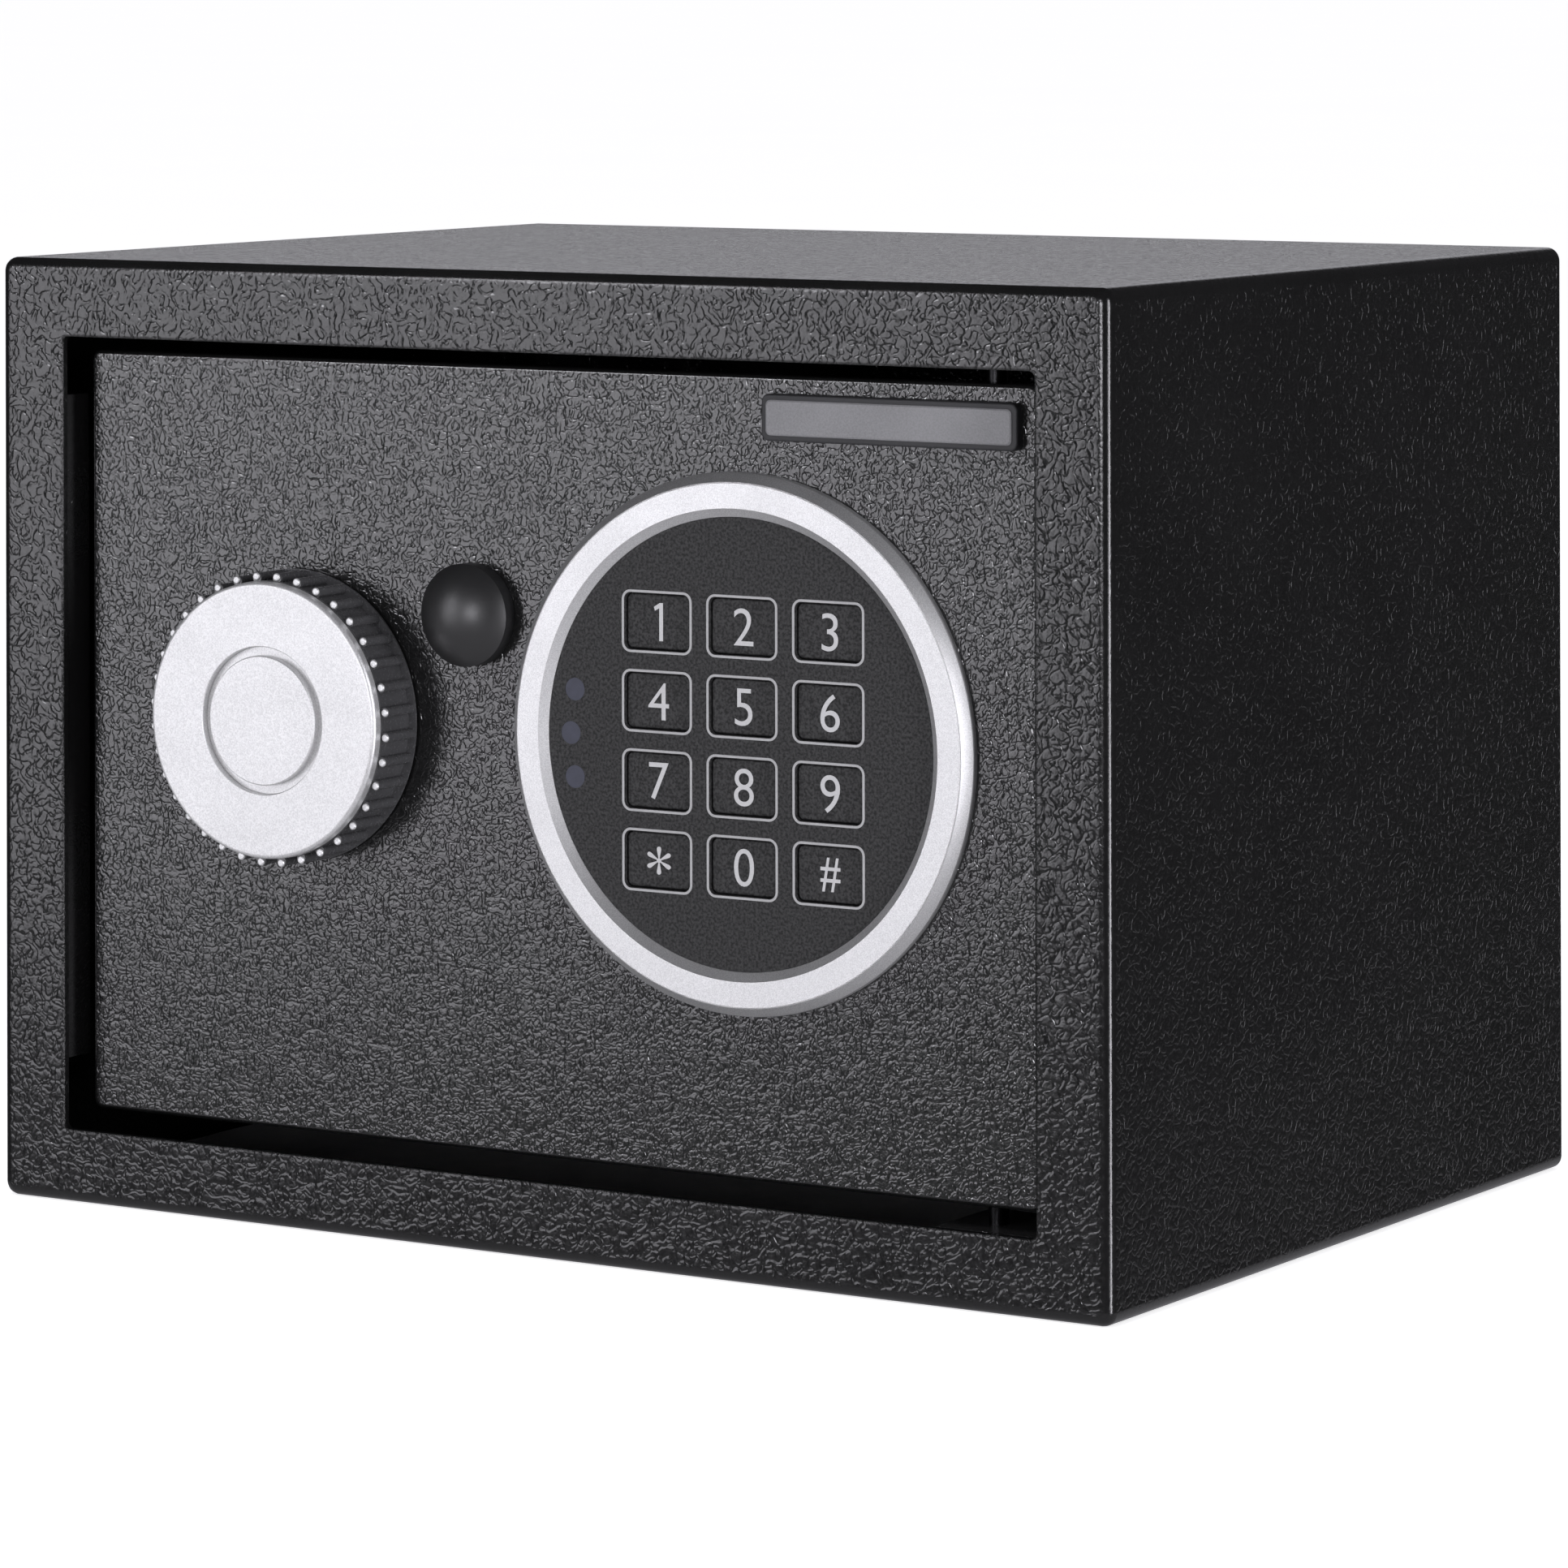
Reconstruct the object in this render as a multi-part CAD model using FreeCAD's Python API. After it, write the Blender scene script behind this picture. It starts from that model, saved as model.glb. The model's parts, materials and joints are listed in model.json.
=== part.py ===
"""Small electronic safe: steel body, hinged door, keypad, turn knob, boltwork and override lock.

Everything is drawn in millimetres with x to the right, y from the front face to the back and z up,
with x = 0 on the centre line, y = 0 on the front face and z = 0 on the underside.
save() then moves each piece so that the origin is the centre of the underside.
At rest the door is closed, the bolts are drawn back and the solenoid is pulled in.
"""
import FreeCAD, Part
import math
import os
from FreeCAD import Vector

# ---------------------------------------------------------------- driving dimensions
WIDTH, HEIGHT, DEPTH = 230.0, 170.0, 170.0
SHEET = 1.5                      # body sheet
BEND_R = 2.5                     # outer bend of the four long edges
FRONT_R = 2.0                    # fold around the front face
FRAME_BORDER = 14.0              # front face at the sides and above the door opening
SILL = 13.2                      # front face below the door opening
DOOR_GAP = 2.5
DOOR_GAP_TOP, DOOR_GAP_BOTTOM = 2.7, 3.3
DOOR_RECESS = 5.5                # door face behind the front face
DOOR_T = 3.0
HINGE_SIDE_OFFSET = 10.7         # door edge to hinge axis
HINGE_DEPTH = 5.0                # door face to hinge axis
PIN_R = 1.75
BOLT_THROW = 12.0
BOLT_R = 6.0
RESET_TRAVEL = 1.5

KNOB_X, KNOB_Z = -52.5, 90.1
PAD_X, PAD_Z = 40.5, 90.6
OVERRIDE_X, OVERRIDE_Z = -15.1, 109.8
PLUNGER_X, PLUNGER_Y = -36.0, 17.5

# ---------------------------------------------------------------- worked-out places
HALF_W = WIDTH / 2
OPEN_X = HALF_W - FRAME_BORDER
OPEN_Z0, OPEN_Z1 = SILL, HEIGHT - FRAME_BORDER
DOOR_X = OPEN_X - DOOR_GAP
DOOR_Z0, DOOR_Z1 = OPEN_Z0 + DOOR_GAP_BOTTOM, OPEN_Z1 - DOOR_GAP_TOP
FACE = DOOR_RECESS
BACK = DOOR_RECESS + DOOR_T
HINGE_X = DOOR_X - HINGE_SIDE_OFFSET
HINGE_Y = FACE + HINGE_DEPTH
MID_Z = HEIGHT / 2
INNER_X = HALF_W - SHEET
CASE_BACK = 36.5                 # outer face of the lock case
CASE_T = 1.0
BOLT_Z = (58.0, 123.0)
BOLT_Y = 18.0
CARRIAGE_Y0, CARRIAGE_Y1 = 16.0, 18.0
CRANK_R = BOLT_THROW / 2 * math.sqrt(2)
ANCHOR_X, ANCHOR_R = 60.0, 5.0
FLOOR_ANCHOR_Y, REAR_ANCHOR_Z = 95.0, 85.0

os.makedirs("parts", exist_ok=True)


# ---------------------------------------------------------------- helpers
def block(x0, x1, y0, y1, z0, z1):
    return Part.makeBox(x1 - x0, y1 - y0, z1 - z0, Vector(x0, y0, z0))


def disc(x, z, r, y0, y1):
    """Cylinder along y."""
    return Part.makeCylinder(r, y1 - y0, Vector(x, y0, z), Vector(0, 1, 0))


def post(x, y, r, z0, z1):
    """Cylinder along z."""
    return Part.makeCylinder(r, z1 - z0, Vector(x, y, z0), Vector(0, 0, 1))


def bar(y, z, r, x0, x1):
    """Cylinder along x."""
    return Part.makeCylinder(r, x1 - x0, Vector(x0, y, z), Vector(1, 0, 0))


def upright(shape, r):
    """Round the edges that run along y."""
    edges = [e for e in shape.Edges if is_along(e, Vector(0, 1, 0))]
    return shape.makeFillet(r, edges)


def is_along(edge, direction):
    if edge.Curve.TypeId != "Part::GeomLine":
        return False
    return abs(edge.tangentAt(edge.FirstParameter).dot(direction)) > 0.999


def edges_at_y(shape, y):
    """Edges that lie in the plane of the given y."""
    return [e for e in shape.Edges if all(abs(v.Point.y - y) < 1e-6 for v in e.Vertexes)]


def edges_at_z(shape, z):
    """Edges that lie in the plane of the given z."""
    return [e for e in shape.Edges if all(abs(v.Point.z - z) < 1e-6 for v in e.Vertexes)]


def plate(x0, x1, z0, z1, r, y0, y1):
    """Rounded rectangle in x and z, from y0 to y1."""
    return upright(block(x0, x1, y0, y1, z0, z1), r)


def round_front(shape, y, r):
    """Round every edge that lies in the plane of the given y."""
    return shape.makeFillet(r, edges_at_y(shape, y))


def lathe(x, z, profile):
    """Turn a closed outline of (radius, y) points around the y axis through x, z."""
    points = [Vector(x + r, y, z) for r, y in profile]
    face = Part.Face(Part.makePolygon(points + points[:1]))
    return face.revolve(Vector(x, 0, z), Vector(0, 1, 0), 360)


def hexagon(x, z, across_flats, y0, y1):
    radius = across_flats / math.sqrt(3)
    turns = [math.radians(60 * i) for i in range(7)]
    points = [Vector(x + radius * math.cos(t), y0, z + radius * math.sin(t)) for t in turns]
    return Part.Face(Part.makePolygon(points)).extrude(Vector(0, y1 - y0, 0))


def ring_of(count, radius, x, z, start=0.0):
    """Evenly spaced places on a circle in x and z."""
    for i in range(count):
        turn = math.radians(start + 360.0 * i / count)
        yield x + radius * math.cos(turn), z + radius * math.sin(turn)


def cable(points, r):
    """Round lead along a smooth path."""
    curve = Part.BSplineCurve()
    curve.interpolate([Vector(*p) for p in points])
    path = Part.Wire(curve.toShape())
    start = curve.value(curve.FirstParameter)
    heading = curve.tangent(curve.FirstParameter)[0]
    outline = Part.Wire(Part.makeCircle(r, start, heading))
    return path.makePipeShell([outline], True, True)


def mirrored(shape):
    """The same piece turned over about the mid-height of the safe."""
    return shape.mirror(Vector(0, 0, MID_Z), Vector(0, 0, 1))


def save(node, *solids):
    shape = solids[0] if len(solids) == 1 else Part.makeCompound(list(solids))
    shape = shape.copy()
    shape.translate(Vector(0, -DEPTH / 2, 0))
    shape.exportStep(os.path.join("parts", node + ".step"))


# ---------------------------------------------------------------- body
WELD_Y = 3.0                     # front frame meets the wrap here
INNER_BEND_R = BEND_R - SHEET
REAR_FLANGE = 12.0
REAR_FLANGE_T = 1.2
REAR_EDGE_R = 0.5
WELD_GAP = 0.05
OPENING_CORNER_R = 1.2
CHANNEL_W, CHANNEL_INSET = 8.5, 3.0
CHANNEL_BELOW, CHANNEL_ABOVE = 33.0, 22.0
STRIKE_GAP = 0.4                 # between the channel and a thrown bolt
SOCKET_LEFT, SOCKET_RIGHT = 8.0, 16.0
SOCKET_LEAF_T = 2.5
SOCKET_LEG_T = 2.0
SOCKET_DEPTH = 11.5              # hinge axis to the back of the angle
PIN_PLAY = 0.08
MAT_HALF_W, MAT_Y0, MAT_Y1 = 110.0, 24.0, 156.0
MAT_T = 2.5
MAT_CORNER_R = 5.0
MAT_HOLE_R = 9.0


def body_wrap():
    outer = plate(-HALF_W, HALF_W, 0, HEIGHT, BEND_R, WELD_Y, DEPTH)
    inner = plate(-INNER_X, INNER_X, SHEET, HEIGHT - SHEET, INNER_BEND_R, WELD_Y, DEPTH)
    holes = [post(side * ANCHOR_X, FLOOR_ANCHOR_Y, ANCHOR_R, -1, SHEET + 1) for side in (-1, 1)]
    return outer.cut([inner] + holes)


def front_frame():
    outer = plate(-HALF_W, HALF_W, 0, HEIGHT, BEND_R, 0, WELD_Y)
    outer = round_front(outer, 0, FRONT_R)
    inner = plate(-INNER_X, INNER_X, SHEET, HEIGHT - SHEET, INNER_BEND_R, SHEET, WELD_Y)
    opening = plate(-OPEN_X, OPEN_X, OPEN_Z0, OPEN_Z1, OPENING_CORNER_R, -1, SHEET + 1)
    return outer.cut([inner, opening])


def rear_panel():
    x = INNER_X - WELD_GAP
    z0, z1 = SHEET + WELD_GAP, HEIGHT - SHEET - WELD_GAP
    pan = plate(-x, x, z0, z1, INNER_BEND_R, DEPTH - REAR_FLANGE, DEPTH)
    pan = round_front(pan, DEPTH, REAR_EDGE_R)
    t = REAR_FLANGE_T
    hollow = block(-x + t, x - t, DEPTH - REAR_FLANGE - 1, DEPTH - SHEET, z0 + t, z1 - t)
    holes = [disc(side * ANCHOR_X, REAR_ANCHOR_Z, ANCHOR_R, DEPTH - SHEET - 1, DEPTH + 1)
             for side in (-1, 1)]
    return pan.cut([hollow] + holes)


def strike_channel():
    """Folded channel behind the frame that the bolts bear on."""
    x1 = -OPEN_X - CHANNEL_INSET
    x0 = x1 - CHANNEL_W
    y1 = BOLT_Y - BOLT_R - STRIKE_GAP
    z0, z1 = BOLT_Z[0] - CHANNEL_BELOW, BOLT_Z[1] + CHANNEL_ABOVE
    hollow = block(x0 - 1, x1 - SHEET, 2 * SHEET, y1 - SHEET, z0 - 1, z1 + 1)
    return block(x0, x1, SHEET, y1, z0, z1).cut(hollow)


def hinge_sockets():
    """Angle welded inside the roof and the floor, with the hole that a hinge pin turns in."""
    x0, x1 = HINGE_X - SOCKET_LEFT, HINGE_X + SOCKET_RIGHT
    leaf_z0 = OPEN_Z1 + 1.0
    leaf_z1 = leaf_z0 + SOCKET_LEAF_T
    back = HINGE_Y + SOCKET_DEPTH
    leaf = block(x0, x1, WELD_Y, back, leaf_z0, leaf_z1)
    leg = block(x0, x1, back - SOCKET_LEG_T, back, leaf_z1, HEIGHT - SHEET)
    hole = post(HINGE_X, HINGE_Y, PIN_R + PIN_PLAY, leaf_z0 - 1, leaf_z1 + 1)
    upper = leaf.fuse(leg).removeSplitter().cut(hole)
    return upper, mirrored(upper)


def floor_mat():
    """Felt on the floor, with clearance around the anchor holes."""
    mat = block(-MAT_HALF_W, MAT_HALF_W, MAT_Y0, MAT_Y1, SHEET, SHEET + MAT_T)
    corners = [e for e in mat.Edges if is_along(e, Vector(0, 0, 1))]
    mat = mat.makeFillet(MAT_CORNER_R, corners)
    holes = [post(side * ANCHOR_X, FLOOR_ANCHOR_Y, MAT_HOLE_R, 0, 10) for side in (-1, 1)]
    return mat.cut(holes)


# ---------------------------------------------------------------- door and hinge
DOOR_CORNER_R, DOOR_EDGE_R = 1.5, 0.8
PAD_HOLE_R = 40.9
PAD_SCREW_CIRCLE = 43.4
PAD_SCREW_TURN = 90.0
OVERRIDE_HOLE_R = 7.4
BUSHING_R = 7.0
LUG_HALF_W, LUG_DEPTH = 5.5, 5.0
LUG_Z0, LUG_Z1 = DOOR_Z1 - 9.5, DOOR_Z1 - 1.0
PIN_TOP_Z = OPEN_Z1 + 4.5
CASE_X0, CASE_X1 = -94.0, 88.0
CASE_Z0, CASE_Z1 = 27.0, 143.0
CASE_FLANGE = 4.5
CASE_FLANGE_X0, CASE_FLANGE_X1 = CASE_X0 + 4.0, CASE_X1 - 12.0
CASE_CORNER_R, CASE_EDGE_R = 4.0, 1.6
CASE_SCREW_X = (-70.0, 60.0)
CASE_SCREW_Z = (CASE_Z0 - 2.4, CASE_Z1 + 2.4)
SCREW_BLIND_Y = FACE + 1.0
SCREW_HEAD_R, SCREW_HEAD_T = 2.0, 1.6


def door_plate():
    door = plate(-DOOR_X, DOOR_X, DOOR_Z0, DOOR_Z1, DOOR_CORNER_R, FACE, BACK)
    door = round_front(door, FACE, DOOR_EDGE_R)
    cuts = [
        disc(KNOB_X, KNOB_Z, BUSHING_R, FACE - 1, BACK + 1),
        disc(PAD_X, PAD_Z, PAD_HOLE_R, FACE - 1, BACK + 1),
        disc(OVERRIDE_X, OVERRIDE_Z, OVERRIDE_HOLE_R, FACE - 1, BACK + 1),
    ]
    for x, z in ring_of(3, PAD_SCREW_CIRCLE, PAD_X, PAD_Z, PAD_SCREW_TURN):
        cuts.append(disc(x, z, 1.4, FACE - 1, BACK + 1))
    for x in CASE_SCREW_X:
        for z in CASE_SCREW_Z:
            cuts.append(disc(x, z, 1.55, SCREW_BLIND_Y, BACK + 1))
    return door.cut(cuts)


def hinge_lugs():
    """Blocks welded behind the door that hold the pins."""
    lug = block(HINGE_X - LUG_HALF_W, HINGE_X + LUG_HALF_W, BACK, HINGE_Y + LUG_DEPTH, LUG_Z0, LUG_Z1)
    lug = lug.cut(post(HINGE_X, HINGE_Y, PIN_R, 0, HEIGHT))
    return lug, mirrored(lug)


def hinge_pins():
    pin = post(HINGE_X, HINGE_Y, PIN_R, LUG_Z0, PIN_TOP_Z)
    pin = pin.makeFillet(0.6, edges_at_z(pin, PIN_TOP_Z))
    return pin, mirrored(pin)


def lock_case():
    """Pressed cover over the boltwork, screwed to the back of the door."""
    case = plate(CASE_X0, CASE_X1, CASE_Z0, CASE_Z1, CASE_CORNER_R, BACK, CASE_BACK)
    case = round_front(case, CASE_BACK, CASE_EDGE_R)
    flange = plate(CASE_FLANGE_X0, CASE_FLANGE_X1, CASE_Z0 - CASE_FLANGE, CASE_Z1 + CASE_FLANGE, 2,
                   BACK, BACK + CASE_T)
    t = CASE_T
    hollow = plate(CASE_X0 + t, CASE_X1 - t, CASE_Z0 + t, CASE_Z1 - t, CASE_CORNER_R - t,
                   BACK - 1, CASE_BACK - t)
    cuts = [hollow]
    cuts += [bar(BOLT_Y, z, BOLT_R + 0.3, CASE_X0 - 1, CASE_X0 + 3) for z in BOLT_Z]
    cuts.append(plate(*battery_opening(), 2, CASE_BACK - 5, CASE_BACK + 1))
    cuts.append(disc(RESET_X, RESET_Z, 3.3, CASE_BACK - 5, CASE_BACK + 1))
    for x in CASE_SCREW_X:
        for z in CASE_SCREW_Z:
            cuts.append(disc(x, z, 1.7, BACK - 1, BACK + 3))
    return case.fuse(flange).cut(cuts)


def lock_case_screws():
    seat = BACK + CASE_T
    for x in CASE_SCREW_X:
        for z in CASE_SCREW_Z:
            top = seat + SCREW_HEAD_T
            head = round_front(disc(x, z, SCREW_HEAD_R, seat, top), top, 0.6)
            driver_slot = block(x - 1.6, x + 1.6, seat + 1.0, top + 1, z - 0.25, z + 0.25)
            shank = disc(x, z, 1.5, SCREW_BLIND_Y + 0.2, seat)
            yield head.fuse(shank).cut(driver_slot)


# ---------------------------------------------------------------- knob and boltwork
KNOB_FACE_Y = -5.6
FACE_DISC_T = 1.9
KNOB_R = 24.3
GRIP_R = 24.4
GRIP_BASE_Y = 5.0
RIBS = 36
RIB_R = 0.7
RIB_CIRCLE = 25.15
RIB_FRONT_Y = -3.3
RIB_START = -4.0                 # degrees from the x axis to the first rib
STUD_PROUD = 0.4
GRIP_FLANGE_R, GRIP_FLANGE_T = 25.9, 0.4
GRIP_HUB_R, GRIP_HOLLOW_R = 8.0, 20.5
GRIP_WEB_Y = 1.5                 # floor of the hollow behind the face
CENTRE_HOLE_R = 13.0
CENTRE_CAP_R = 11.4
CENTRE_GROOVE = 1.4
SHAFT_R = 4.0
SHAFT_END_R = 3.0
CRANK_Y0, CRANK_Y1 = 12.5, 15.5
CRANK_HUB_R, CRANK_END_R = 6.0, 3.4
CRANK_PIN_R = 2.0


def ribbed_outline(y):
    """Grip section: a circle with evenly spaced half-round ribs standing on it."""
    half = math.asin(RIB_R / RIB_CIRCLE)
    step = 2 * math.pi / RIBS

    def at(radius, turn):
        return Vector(KNOB_X + radius * math.cos(turn), y, KNOB_Z + radius * math.sin(turn))

    edges = []
    for i in range(RIBS):
        turn = math.radians(RIB_START) + i * step
        foot_a, foot_b = at(GRIP_R, turn - half), at(GRIP_R, turn + half)
        next_a = at(GRIP_R, turn + step - half)
        edges.append(Part.Arc(foot_a, at(RIB_CIRCLE + RIB_R, turn), foot_b).toShape())
        edges.append(Part.Arc(foot_b, at(GRIP_R, turn + step / 2), next_a).toShape())
    return Part.Wire(edges)


def knob_grip():
    back = KNOB_FACE_Y + FACE_DISC_T
    flange_y = GRIP_BASE_Y - GRIP_FLANGE_T
    core = lathe(KNOB_X, KNOB_Z, [
        (SHAFT_R, back + 0.4), (GRIP_HUB_R, back + 0.4), (GRIP_HUB_R, GRIP_WEB_Y),
        (GRIP_HOLLOW_R, GRIP_WEB_Y), (GRIP_HOLLOW_R, back),
        (GRIP_R - 0.5, back), (GRIP_R, back + 0.5), (GRIP_R, flange_y),
        (GRIP_FLANGE_R, flange_y), (GRIP_FLANGE_R, GRIP_BASE_Y), (SHAFT_R, GRIP_BASE_Y)])
    ribs = Part.Face(ribbed_outline(RIB_FRONT_Y)).extrude(Vector(0, flange_y - RIB_FRONT_Y, 0))
    ribs = ribs.cut(disc(KNOB_X, KNOB_Z, 22.0, RIB_FRONT_Y - 1, GRIP_BASE_Y + 1))
    return core.fuse(ribs).removeSplitter()


def grip_studs():
    """Bright ends of the ribs."""
    y = RIB_FRONT_Y - STUD_PROUD
    for x, z in ring_of(RIBS, RIB_CIRCLE + 0.05, KNOB_X, KNOB_Z, RIB_START):
        stud = round_front(disc(x, z, RIB_R - 0.02, y, RIB_FRONT_Y), y, 0.25)
        yield stud.cut(disc(KNOB_X, KNOB_Z, GRIP_R + 0.01, RIB_FRONT_Y - 1, RIB_FRONT_Y + 1))


def knob_face():
    y = KNOB_FACE_Y
    face = lathe(KNOB_X, KNOB_Z, [
        (CENTRE_HOLE_R, y), (KNOB_R, y), (KNOB_R, y + FACE_DISC_T), (CENTRE_HOLE_R, y + FACE_DISC_T)])
    rims = edges_at_y(face, y)
    outer = [e for e in rims if abs(e.Curve.Radius - KNOB_R) < 1e-6]
    inner = [e for e in rims if abs(e.Curve.Radius - CENTRE_HOLE_R) < 1e-6]
    return face.makeFillet(0.7, outer).makeFillet(0.15, inner)


def knob_cap():
    y = KNOB_FACE_Y
    foot_r = CENTRE_HOLE_R - 0.05
    return lathe(KNOB_X, KNOB_Z, [
        (0, y), (CENTRE_CAP_R - 0.2, y), (CENTRE_CAP_R, y + 0.2), (CENTRE_CAP_R, y + CENTRE_GROOVE),
        (foot_r, y + CENTRE_GROOVE), (foot_r, y + FACE_DISC_T), (0, y + FACE_DISC_T)])


def knob_shaft():
    start = KNOB_FACE_Y + FACE_DISC_T + 0.4
    shaft = disc(KNOB_X, KNOB_Z, SHAFT_R, start, CRANK_Y0)
    return shaft.fuse(disc(KNOB_X, KNOB_Z, SHAFT_END_R, CRANK_Y0, CRANK_Y1)).removeSplitter()


def crank_pin_place():
    """At rest the crank leans 45 degrees towards the hinge side."""
    offset = CRANK_R * math.sin(math.radians(45))
    return KNOB_X + offset, KNOB_Z + offset


def knob_crank():
    pin_x, pin_z = crank_pin_place()
    hub = disc(KNOB_X, KNOB_Z, CRANK_HUB_R, CRANK_Y0, CRANK_Y1)
    end = disc(pin_x, pin_z, CRANK_END_R, CRANK_Y0, CRANK_Y1)
    web = block(0, CRANK_R, CRANK_Y0, CRANK_Y1, -CRANK_END_R, CRANK_END_R)
    web.rotate(Vector(0, 0, 0), Vector(0, 1, 0), -45)
    web.translate(Vector(KNOB_X, 0, KNOB_Z))
    pin = disc(pin_x, pin_z, CRANK_PIN_R, CRANK_Y1, CARRIAGE_Y1 + 1.5)
    return hub.fuse([web, end, pin]).cut(disc(KNOB_X, KNOB_Z, SHAFT_END_R, CRANK_Y0 - 1, CRANK_Y1 + 1))


def knob_bushing():
    bore, front, end = SHAFT_R + 0.06, FACE - 0.3, CRANK_Y0 - 0.3
    collar_r, collar_back = 9.5, BACK + 1.7
    return lathe(KNOB_X, KNOB_Z, [
        (bore, front), (BUSHING_R - 0.05, front), (BUSHING_R - 0.05, BACK), (collar_r, BACK),
        (collar_r, collar_back), (BUSHING_R, collar_back), (BUSHING_R, end), (bore, end)])


WEB_X0, WEB_X1 = -75.0, -52.0
WEB_OVERHANG = 8.0               # carriage beyond each bolt's centre line
ARM_Z0, ARM_Z1 = 86.0, 105.0
TAB_Z0, TAB_Z1 = 100.0, 106.0
RIVET_R = 2.0
STUD_X = -68.0
STUD_Z = (70.0, 111.0)
STUD_R, STUD_HEAD_R = 2.5, 4.0
TAB_X0, TAB_X1 = PLUNGER_X + 5.0, PLUNGER_X + 9.0


def slot(x0, x1, z, r, y0, y1):
    """Long hole along x."""
    ends = [disc(x0, z, r, y0, y1), disc(x1, z, r, y0, y1)]
    return block(x0, x1, y0, y1, z - r, z + r).fuse(ends)


def bolt_carriage():
    """Plate that carries both bolts, with the crank's slot and the solenoid's blocking tab."""
    y0, y1 = CARRIAGE_Y0, CARRIAGE_Y1
    web = block(WEB_X0, WEB_X1, y0, y1, BOLT_Z[0] - WEB_OVERHANG, BOLT_Z[1] + WEB_OVERHANG)
    arm = block(WEB_X1, PLUNGER_X - 5, y0, y1, ARM_Z0, ARM_Z1)
    low_arm = block(PLUNGER_X - 5, TAB_X1 + 2, y0, y1, ARM_Z0, TAB_Z0)
    tab = block(TAB_X0, TAB_X1, y0, y1, TAB_Z0, TAB_Z1)
    lead_in = [e for e in edges_at_z(tab, TAB_Z1) if e.BoundBox.XMax < TAB_X0 + 0.1]
    tab = tab.makeChamfer(2.5, lead_in)
    carriage = web.fuse([arm, low_arm, tab]).removeSplitter()
    pin_x, pin_z = crank_pin_place()
    r = CRANK_PIN_R + 0.4
    slot_top = KNOB_Z + CRANK_R
    crank_slot = block(pin_x - r, pin_x + r, y0 - 1, y1 + 1, pin_z, slot_top)
    crank_slot = crank_slot.fuse([disc(pin_x, z, r, y0 - 1, y1 + 1) for z in (pin_z, slot_top)])
    guides = [slot(STUD_X, STUD_X + BOLT_THROW, z, STUD_R + 0.2, y0 - 1, y1 + 1) for z in STUD_Z]
    rivets = [disc(STUD_X, z, RIVET_R, y0 - 1, y1 + 1) for z in BOLT_Z]
    return carriage.cut([crank_slot] + guides + rivets)


def live_bolts():
    """Round bolts, half-lapped and riveted onto the carriage."""
    tip = -DOOR_X + 1.0
    for z in BOLT_Z:
        bolt = bar(BOLT_Y, z, BOLT_R, tip, WEB_X0 + 14)
        nose = [e for e in bolt.Edges if e.BoundBox.XMax < tip + 0.1]
        bolt = bolt.makeChamfer(1.0, nose)
        lap = block(WEB_X0 - 0.2, 0, 0, CARRIAGE_Y1, z - 10, z + 10)
        rivet = disc(STUD_X, z, RIVET_R, CARRIAGE_Y0 - 1.2, CARRIAGE_Y1)
        yield bolt.cut(lap).fuse(rivet)


GUIDE_X0, GUIDE_X1, GUIDE_FOOT_X1 = -91.0, -88.0, -78.0
GUIDE_Y1 = 27.0
GUIDE_OVERHANG = 12.0


def bolt_guide():
    """Angle on the back of the door that the bolts slide through."""
    z0, z1 = BOLT_Z[0] - GUIDE_OVERHANG, BOLT_Z[1] + GUIDE_OVERHANG
    strip = block(GUIDE_X0, GUIDE_X1, BACK, GUIDE_Y1, z0, z1)
    foot = block(GUIDE_X1, GUIDE_FOOT_X1, BACK, BACK + 1.5, z0, z1)
    guide = strip.fuse(foot).removeSplitter()
    return guide.cut([bar(BOLT_Y, z, BOLT_R + 0.08, GUIDE_X0 - 2, GUIDE_X1 + 2) for z in BOLT_Z])


def guide_studs():
    """Headed studs that the carriage's long holes run on."""
    head_y = CARRIAGE_Y1 + 0.3
    for z in STUD_Z:
        stud = disc(STUD_X, z, STUD_R, BACK, head_y)
        yield stud.fuse(disc(STUD_X, z, STUD_HEAD_R, head_y, head_y + 1.5))


# ---------------------------------------------------------------- solenoid
SOLENOID_Z0, SOLENOID_Z1 = 117.0, 139.0
SOLENOID_HALF_W, SOLENOID_Y1 = 8.5, 26.5
YOKE_T = 1.2
COIL_R = 7.4
WINDING_R = 6.7
PLUNGER_PLAY = 0.1
NOSE_Z = 107.0
PLUNGER_TOP = 128.0
PLUNGER_R = 2.8
LIFT_PIN_Z, LIFT_PIN_R, LIFT_PIN_Y1 = 113.9, 1.3, 31.0


def solenoid_frame():
    x0, x1 = PLUNGER_X - SOLENOID_HALF_W, PLUNGER_X + SOLENOID_HALF_W
    t = YOKE_T
    frame = block(x0, x1, BACK, SOLENOID_Y1, SOLENOID_Z0, SOLENOID_Z1)
    window = block(x0 - 1, x1 + 1, BACK + t, SOLENOID_Y1 + 1, SOLENOID_Z0 + t, SOLENOID_Z1 - t)
    plunger_hole = post(PLUNGER_X, PLUNGER_Y, PLUNGER_R + PLUNGER_PLAY, SOLENOID_Z0 - 1, SOLENOID_Z0 + 3)
    return frame.cut([window, plunger_hole])


def solenoid_coil():
    z0, z1 = SOLENOID_Z0 + YOKE_T, SOLENOID_Z1 - YOKE_T
    flanges = [post(PLUNGER_X, PLUNGER_Y, COIL_R, z, z + 1.0) for z in (z0, z1 - 1.0)]
    coil = post(PLUNGER_X, PLUNGER_Y, WINDING_R, z0, z1).fuse(flanges)
    return coil.cut(post(PLUNGER_X, PLUNGER_Y, PLUNGER_R + PLUNGER_PLAY, z0 - 1, z1 + 1))


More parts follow.
